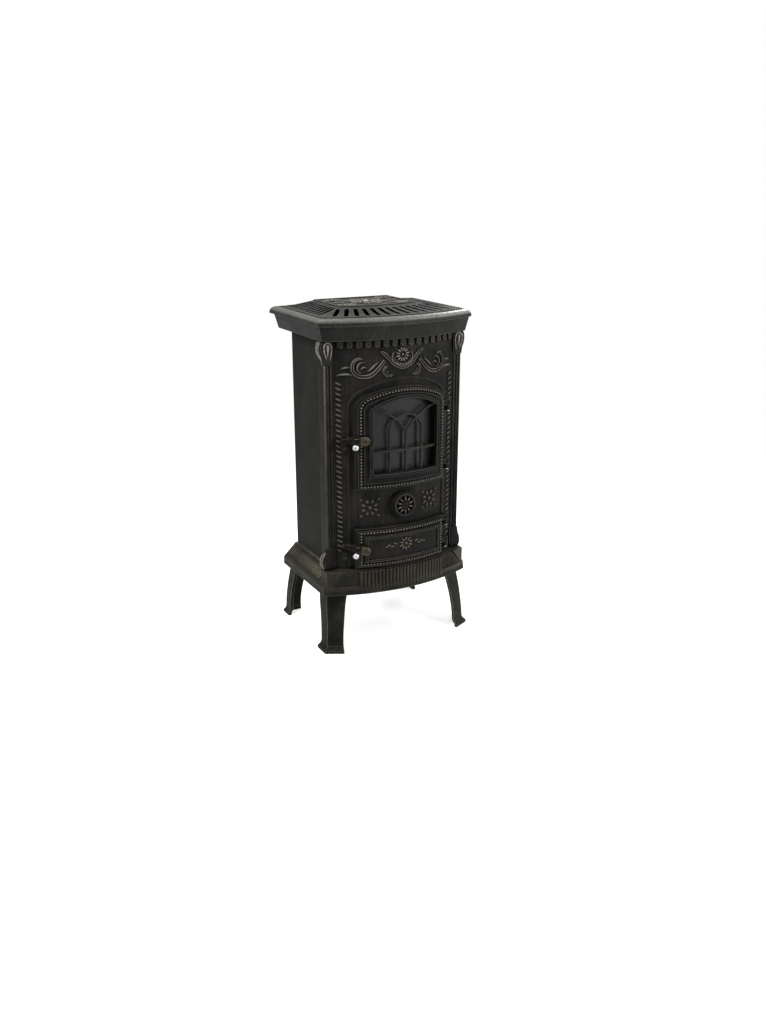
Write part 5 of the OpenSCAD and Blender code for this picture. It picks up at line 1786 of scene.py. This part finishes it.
@dataclass
class CoverRelief:
    """Raised ribs and leaves on the pierced cover.

    Attributes:
        body: The cover.
        edge_z: Height of the cover's edge.
        top_z: Height of its middle plateau.
        plateau_half: Half the plateau's width.
        plateau_r: Radius of the plateau's bowed front.
        plateau_back: Distance of its rear edge behind the reference line.
        axis: Distance of the bow's axis behind the reference line.
        edge_half: Half the cover's width.
        edge_r: Radius of its bowed front.
        edge_back: Distance of its rear edge behind the reference line.
        spray_x: Distance of the four sprays from the middle, across.
        spray_y: Their distance from it in depth.
    """

    body: str = "cover"
    edge_z: float = 767.0
    top_z: float = 777.0
    plateau_half: float = 97.0
    plateau_r: float = 299.8
    plateau_back: float = 105.7
    axis: float = 246.9
    edge_half: float = 176.0
    edge_r: float = 400.3
    edge_back: float = 117.7
    spray_x: float = 66.0
    spray_y: float = 36.0

    def outline(self, half: float, radius: float, back: float, inset: float) -> list[Flat]:
        """Draws a bowed outline, drawn in all round.

        Args:
            half: Half its width.
            radius: Radius of its bowed front.
            back: Distance of its rear edge behind the reference line.
            inset: How far it is drawn in.

        Returns:
            Points from the left end of the bow, anticlockwise.
        """
        half, radius, back = half - inset, radius - inset, back - inset
        swing = math.asin(half / radius)
        front = arc((0.0, self.axis), radius, -math.pi / 2 - swing, -math.pi / 2 + swing, 40)
        low = front[-1][1]
        right = straight((half, low), (half, back), 16)[1:-1]
        rear = straight((half, back), (-half, back), 20)
        left = straight((-half, back), (-half, low), 16)[1:-1]
        return front + right + rear + left

    def rib(self, line: Sequence[Flat], height: float, half: float, flat: float, lift: float, rise: float,
            name: str) -> None:
        """Builds a level rib round the cover.

        Args:
            line: Its line.
            height: Height of the surface that it stands on.
            half: Its half width.
            flat: Its height as a share of that.
            lift: Height of its middle line above the surface.
            rise: The height at which its bronze is full.
            name: Its name.
        """
        piece = ridge(line, half, flat, True, lift=lift)
        piece.name = name
        level = Plane(Vector((0, HOME, height)), ACROSS, DEPTH)
        hand_over(lay_on(piece, level, rise), self.body, Finish.RELIEF)

    def rosette(self) -> None:
        """Builds the rims round the pierced leaves, with the boss in their middle."""
        sprays = [at(sx * self.spray_x, sy * self.spray_y, math.radians(sx * sy * a + (180 if sx < 0 else 0)))
                  for sx in (-1, 1) for sy in (-1, 1) for a in (20, 70, 120)]
        # start and end of a leaf from the middle, its width, and where the leaves are
        leaves = ((11, 36, 12, fan(0, 45, 8)), (27, 47, 9, fan(22.5, 45, 8)), (5, 24, 8, sprays),
                  (54, 80, 9, fan(142, 38, 3) + fan(-38, 38, 3)))
        parts = [boss(8.8, 4.2, 16)] + [self.rim_of_leaf(*rims) for rims in leaves]
        middle = (self.axis - self.plateau_r + self.plateau_back) / 2
        piece = stamp(weld(parts, "cover_rosette"), [at(0, middle)], "cover_rosette")
        level = Plane(Vector((0, HOME, self.top_z)), ACROSS, DEPTH)
        hand_over(lay_on(piece, level, 3.4), self.body, Finish.GRILLE)

    def build(self) -> None:
        """Builds the cover's ornament."""
        plateau = self.outline(self.plateau_half, self.plateau_r, self.plateau_back, 3.0)
        self.rib(plateau, self.top_z, 3.0, 0.9, 0.0, 3.4, "cover_plateau_rib")
        edge = self.outline(self.edge_half, self.edge_r, self.edge_back, 4.5)
        self.rib(edge, self.edge_z, 1.5, 1.0, -0.2, 1.5, "cover_edge_rib")
        self.rosette()

    @staticmethod
    def rim_of_leaf(start: float, end: float, width: float, places: Sequence[Matrix]) -> Shape:
        """Models the raised rims round a set of pierced leaves.

        Args:
            start: Distance of a leaf's root from the middle.
            end: Distance of its tip.
            width: Its width.
            places: Where the leaves are.

        Returns:
            The rims.
        """
        grow = 1.3  # the rim stands this far outside the pierced leaf
        length = end - start + 2 * grow
        upper = [(start - grow + length * k / 10, (width / 2 + grow) * math.sin(math.pi * k / 10))
                 for k in range(11)]
        line = upper + [(x, -y) for x, y in reversed(upper[1:-1])]
        return stamp(ridge(line, 1.2, 2.0, True, 2), places, "rims")


@dataclass
class BaseRelief:
    """Fine reeding on the splayed base's sides, and the insets of its corner blocks.

    Attributes:
        low_z: Height of the side reeds' feet.
        high_z: Height of their heads.
        first_y: Distance of the first one behind the reference line.
        span: Distance from the first to the last.
        pitch: Spacing of the reeds.
        reed_half: Half width of a reed.
        reed_rise: Its rise.
        cove: Where the reeds over the ledge end.
        lit_y: Places in depth between which a painted highlight brightens the side
        reeds towards the front, and the share of bronze that the rear ones have.
        inset_z: Heights between which a corner inset lies.
        inset_x: Distances from the middle between which its foot lies.
        inset_slant: How much shorter its head is than its foot.
        inset_pitch: Spacing of its shallow waves.
        inset_wave: Height of a wave.
        inset_fade: Distance from the slanting end over which they fade out.
        inset_sunk: Depth at which its board lies.
        inset_top: How far its face stays behind the base's own.
        inset_fall: How much further it falls back away from that end.
        slope_low: Height and half width of the base at the slope's foot.
        slope_high: Height and half width at its head.
    """

    low_z: float = 163.0
    high_z: float = 194.0
    first_y: float = -84.0
    span: float = 176.0
    pitch: float = 6.7
    reed_half: float = 2.3
    reed_rise: float = 2.2
    cove: Vector = field(default_factory=lambda: Vector((151.8, 0.0, 199.5)))
    lit_y: tuple[float, float, float] = (60.0, -90.0, 0.35)
    inset_z: tuple[float, float] = (160.6, 195.2)
    inset_x: tuple[float, float] = (106.5, 173.6)
    inset_slant: float = 29.0
    inset_pitch: float = 8.8
    inset_wave: float = 0.7
    inset_fade: float = 26.0
    inset_sunk: float = 6.2
    inset_top: float = 0.9
    inset_fall: float = 2.6
    slope_low: tuple[float, float] = (158.0, 187.0)
    slope_high: tuple[float, float] = (196.0, 161.0)

    def on_slope(self, z: float) -> Vector:
        """Returns the middle of the base's right slope at a height."""
        (z0, x0), (z1, x1) = self.slope_low, self.slope_high
        return Vector((x0 + (x1 - x0) * (z - z0) / (z1 - z0), 0, z))

    def reed_bronze_and_highlight(self, place: Vector, had: float) -> float:
        """Returns the bronze at a place on a side reed, with a painted highlight: most at the front."""
        start, end, least = self.lit_y
        return had * fade(place.y, start, end, least)

    def reeds(self) -> None:
        """Builds the fine reeds up both sloping sides and over the ledge above."""
        low, high = self.on_slope(self.low_z), self.on_slope(self.high_z)
        for side, name in ((-1, "side_reeds_left"), (1, "side_reeds_right")):
            for start, end, part in ((low, high, ""), (high, self.cove, "_cove")):
                up = end - start
                reed = leaf(up.length + 1.0, 2 * self.reed_half, self.reed_rise, -0.5, 10, 0.5)
                places = [at(side * (self.first_y + k * self.pitch), 0, math.pi / 2)
                          for k in range(round(self.span / self.pitch) + 1)]
                piece = stamp(reed, places, name + part)
                up.normalize()
                face = Plane(Vector((side * start.x, HOME, start.z)), side * DEPTH,
                             Vector((side * up.x, 0, up.z)))
                brush(lay_on(piece, face, self.reed_rise), self.reed_bronze_and_highlight)
                hand_over(piece, "stove", Finish.REED)

    def cushion(self) -> Shape:
        """Models one corner's inset: shallow waves that fade out towards its slanting end.

        Returns:
            The right one, on the board.
        """
        (z0, z1), (x0, x1) = self.inset_z, self.inset_x
        bpy.ops.mesh.primitive_grid_add(x_subdivisions=40, y_subdivisions=12, size=2)
        piece = bpy.context.object
        for vertex in piece.data.vertices:
            across, up = 0.5 * (vertex.co.x + 1), 0.5 * (vertex.co.y + 1)
            wide = x1 - x0 - self.inset_slant * up
            x = x0 + wide * across
            near = fade(wide * (1 - across), 0.0, self.inset_fade)
            wave = self.inset_wave * near * math.cos(2 * math.pi * x / self.inset_pitch)
            fall = self.inset_fall * near * near * (3 - 2 * near)
            vertex.co = (x, z0 + (z1 - z0) * up, self.inset_sunk - self.inset_top - fall + wave)
        with editing(piece) as mesh:
            pick_faces(mesh, lambda face: True)
            bpy.ops.mesh.extrude_region_move(TRANSFORM_OT_translate={"value": (0, 0, -self.inset_sunk)})
        put_right(piece)
        return piece

    def corner_panels(self) -> None:
        """Builds the insets of the front corner blocks."""
        master = self.cushion()
        for name, turned in (("corner_reeds_left", MIRROR), ("corner_reeds_right", Matrix.Identity(4))):
            piece = stamp(master, [turned], name, keep=True)
            hand_over(lay_on(piece, BaseFront(self.inset_sunk), 2.2 * self.inset_sunk), "stove", Finish.REED)
        bpy.data.objects.remove(master)

    def build(self) -> None:
        """Builds all the base's ornament."""
        self.reeds()
        self.corner_panels()


# ---------------------------------------------------------------- stage


def seen_ray(tree: bpy.types.NodeTree) -> bpy.types.Node:
    """Finds what the eye sees, also in metal and through glass.

    Args:
        tree: The material's or world's node tree.

    Returns:
        A node that is 1 for it and 0 for the light on the stove.
    """
    path = add_node(tree, "LightPath")
    eye = add_node(tree, "Math", MOST,
                   in0=path.outputs["Is Camera Ray"], in1=path.outputs["Is Transmission Ray"])
    return add_node(tree, "Math", MOST, in0=eye, in1=path.outputs["Is Glossy Ray"])


@dataclass
class Studio:
    """Pale floor, soft lamps and the camera at the photograph's angle.

    Attributes:
        eye: The camera's place.
        pitch: How far it looks down, in degrees.
        turn: How far it is turned about the vertical, in degrees.
        focal_px: Its focal length in pixels of the photograph.
        tall_px: The photograph's height.
        film_mm: Width of the camera's film.
        glow: How far the floor's own light lifts it near the stove.
        plain: Distances from the middle between which the floor turns white.
        even: Strength of the world's light on the stove.
        aim: What the lamps point at.
        lights: Name, place, size and power of each lamp.
    """

    eye: tuple[float, float, float] = (-1.053, -2.0363, 1.050)
    pitch: float = 18.47
    turn: float = -27.88
    focal_px: float = 1002.0
    tall_px: float = 1021.0
    film_mm: float = 36.0
    glow: float = 0.74
    plain: tuple[float, float] = (0.9, 2.2)
    even: float = 0.28
    aim: tuple[float, float, float] = (0.0, 0.0, 0.45)
    lights: tuple[tuple[str, tuple[float, float, float], float, float], ...] = (
        ("key", (-1.5, -0.6, 2.2), 0.7, 52.0),
        ("front", (1.2, -2.2, 1.1), 0.8, 46.0),
        ("right", (2.4, -1.1, 1.3), 0.8, 18.0),
        ("rim", (1.9, 1.5, 1.7), 0.8, 26.0),
        ("top", (-0.2, 0.4, 2.7), 0.9, 36.0),
    )

    def camera(self) -> None:
        """Adds the camera."""
        data = bpy.data.cameras.new("camera")
        data.sensor_fit = "AUTO"
        data.sensor_width = self.film_mm
        data.lens = self.focal_px * self.film_mm / self.tall_px
        data.clip_end = 50
        camera = bpy.data.objects.new("camera", data)
        camera.location = self.eye
        camera.rotation_euler = Euler((math.radians(90 - self.pitch), 0, math.radians(self.turn)))
        bpy.context.scene.collection.objects.link(camera)
        bpy.context.scene.camera = camera

    def floor(self) -> None:
        """Adds a pale floor that keeps the stove's shadow."""
        bpy.ops.mesh.primitive_plane_add(size=30)
        floor = bpy.context.object
        floor.name = "floor"
        material, tree = new_material("pale_floor")
        seen = seen_ray(tree)
        lit = add_node(tree, "BsdfDiffuse", Color=linear("#cacac8"))
        glow = add_node(tree, "Math", TIMES, in0=seen, in1=self.glow)
        near = add_node(tree, "AddShader", in0=lit, in1=add_node(tree, "Emission", Strength=glow))
        # far from the stove the floor is as white as the background, so no horizon shows
        away = add_node(tree, "VectorMath", {"operation": "LENGTH"},
                        in0=add_node(tree, "TexCoord").outputs["Object"])
        start, end = self.plain
        far = add_node(tree, "MapRange", Value=away.outputs["Value"], From_Min=start, From_Max=end)
        white = add_node(tree, "Math", TIMES, in0=far, in1=seen)
        whole = add_node(tree, "MixShader", in0=white, in1=near, in2=add_node(tree, "Emission", Strength=1.0))
        add_node(tree, "OutputMaterial", Surface=whole)
        floor.data.materials.append(material)

    def world(self) -> None:
        """Makes a white background and an even, dimmer light."""
        world = bpy.data.worlds.new("studio")
        world.use_nodes = True
        tree = world.node_tree
        tree.nodes.clear()
        even, white = (add_node(tree, "Background", Color=(1, 1, 1, 1), Strength=strength)
                       for strength in (self.even, 1.0))
        both = add_node(tree, "MixShader", in0=seen_ray(tree), in1=even, in2=white)
        add_node(tree, "OutputWorld", Surface=both)
        bpy.context.scene.world = world

    def lamps(self) -> None:
        """Adds the soft lamps."""
        for name, place, size, power in self.lights:
            data = bpy.data.lights.new(name, "AREA")
            data.shape = "DISK"
            data.size = size
            data.energy = power
            lamp = bpy.data.objects.new(name, data)
            lamp.location = place
            lamp.rotation_euler = (Vector(place) - Vector(self.aim)).to_track_quat("Z", "Y").to_euler()
            bpy.context.scene.collection.objects.link(lamp)

    def build(self) -> None:
        """Builds the stage."""
        self.camera()
        self.floor()
        self.world()
        self.lamps()
        bpy.context.scene.view_settings.view_transform = "Standard"


def paint_castings() -> None:
    """Gives every CAD node its finish."""
    for finish, names in CAD_FINISH.items():
        for name in names:
            PAINT.coat(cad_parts[name], finish)
    missing = set(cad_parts) - {name for names in CAD_FINISH.values() for name in names}
    if missing:
        raise ValueError(f"no finish for {sorted(missing)}")


def main() -> None:
    """Builds the stage, the finishes and every piece, in order."""
    logging.basicConfig(level=logging.INFO, format="%(message)s")
    deselect()
    Studio().build()
    paint_castings()
    for part in (FrontRelief(), CornerScrolls(), FireDoorRelief(), AshDoorRelief(), AirDiscRelief(),
                 LatchRelief("fire_latch_arm", 502.0), LatchRelief("ash_latch_arm", 247.0, 12.0),
                 CoverRelief(), BaseRelief()):
        part.build()
        log.info("%s is done", type(part).__name__)


if __name__ == "__main__":
    main()
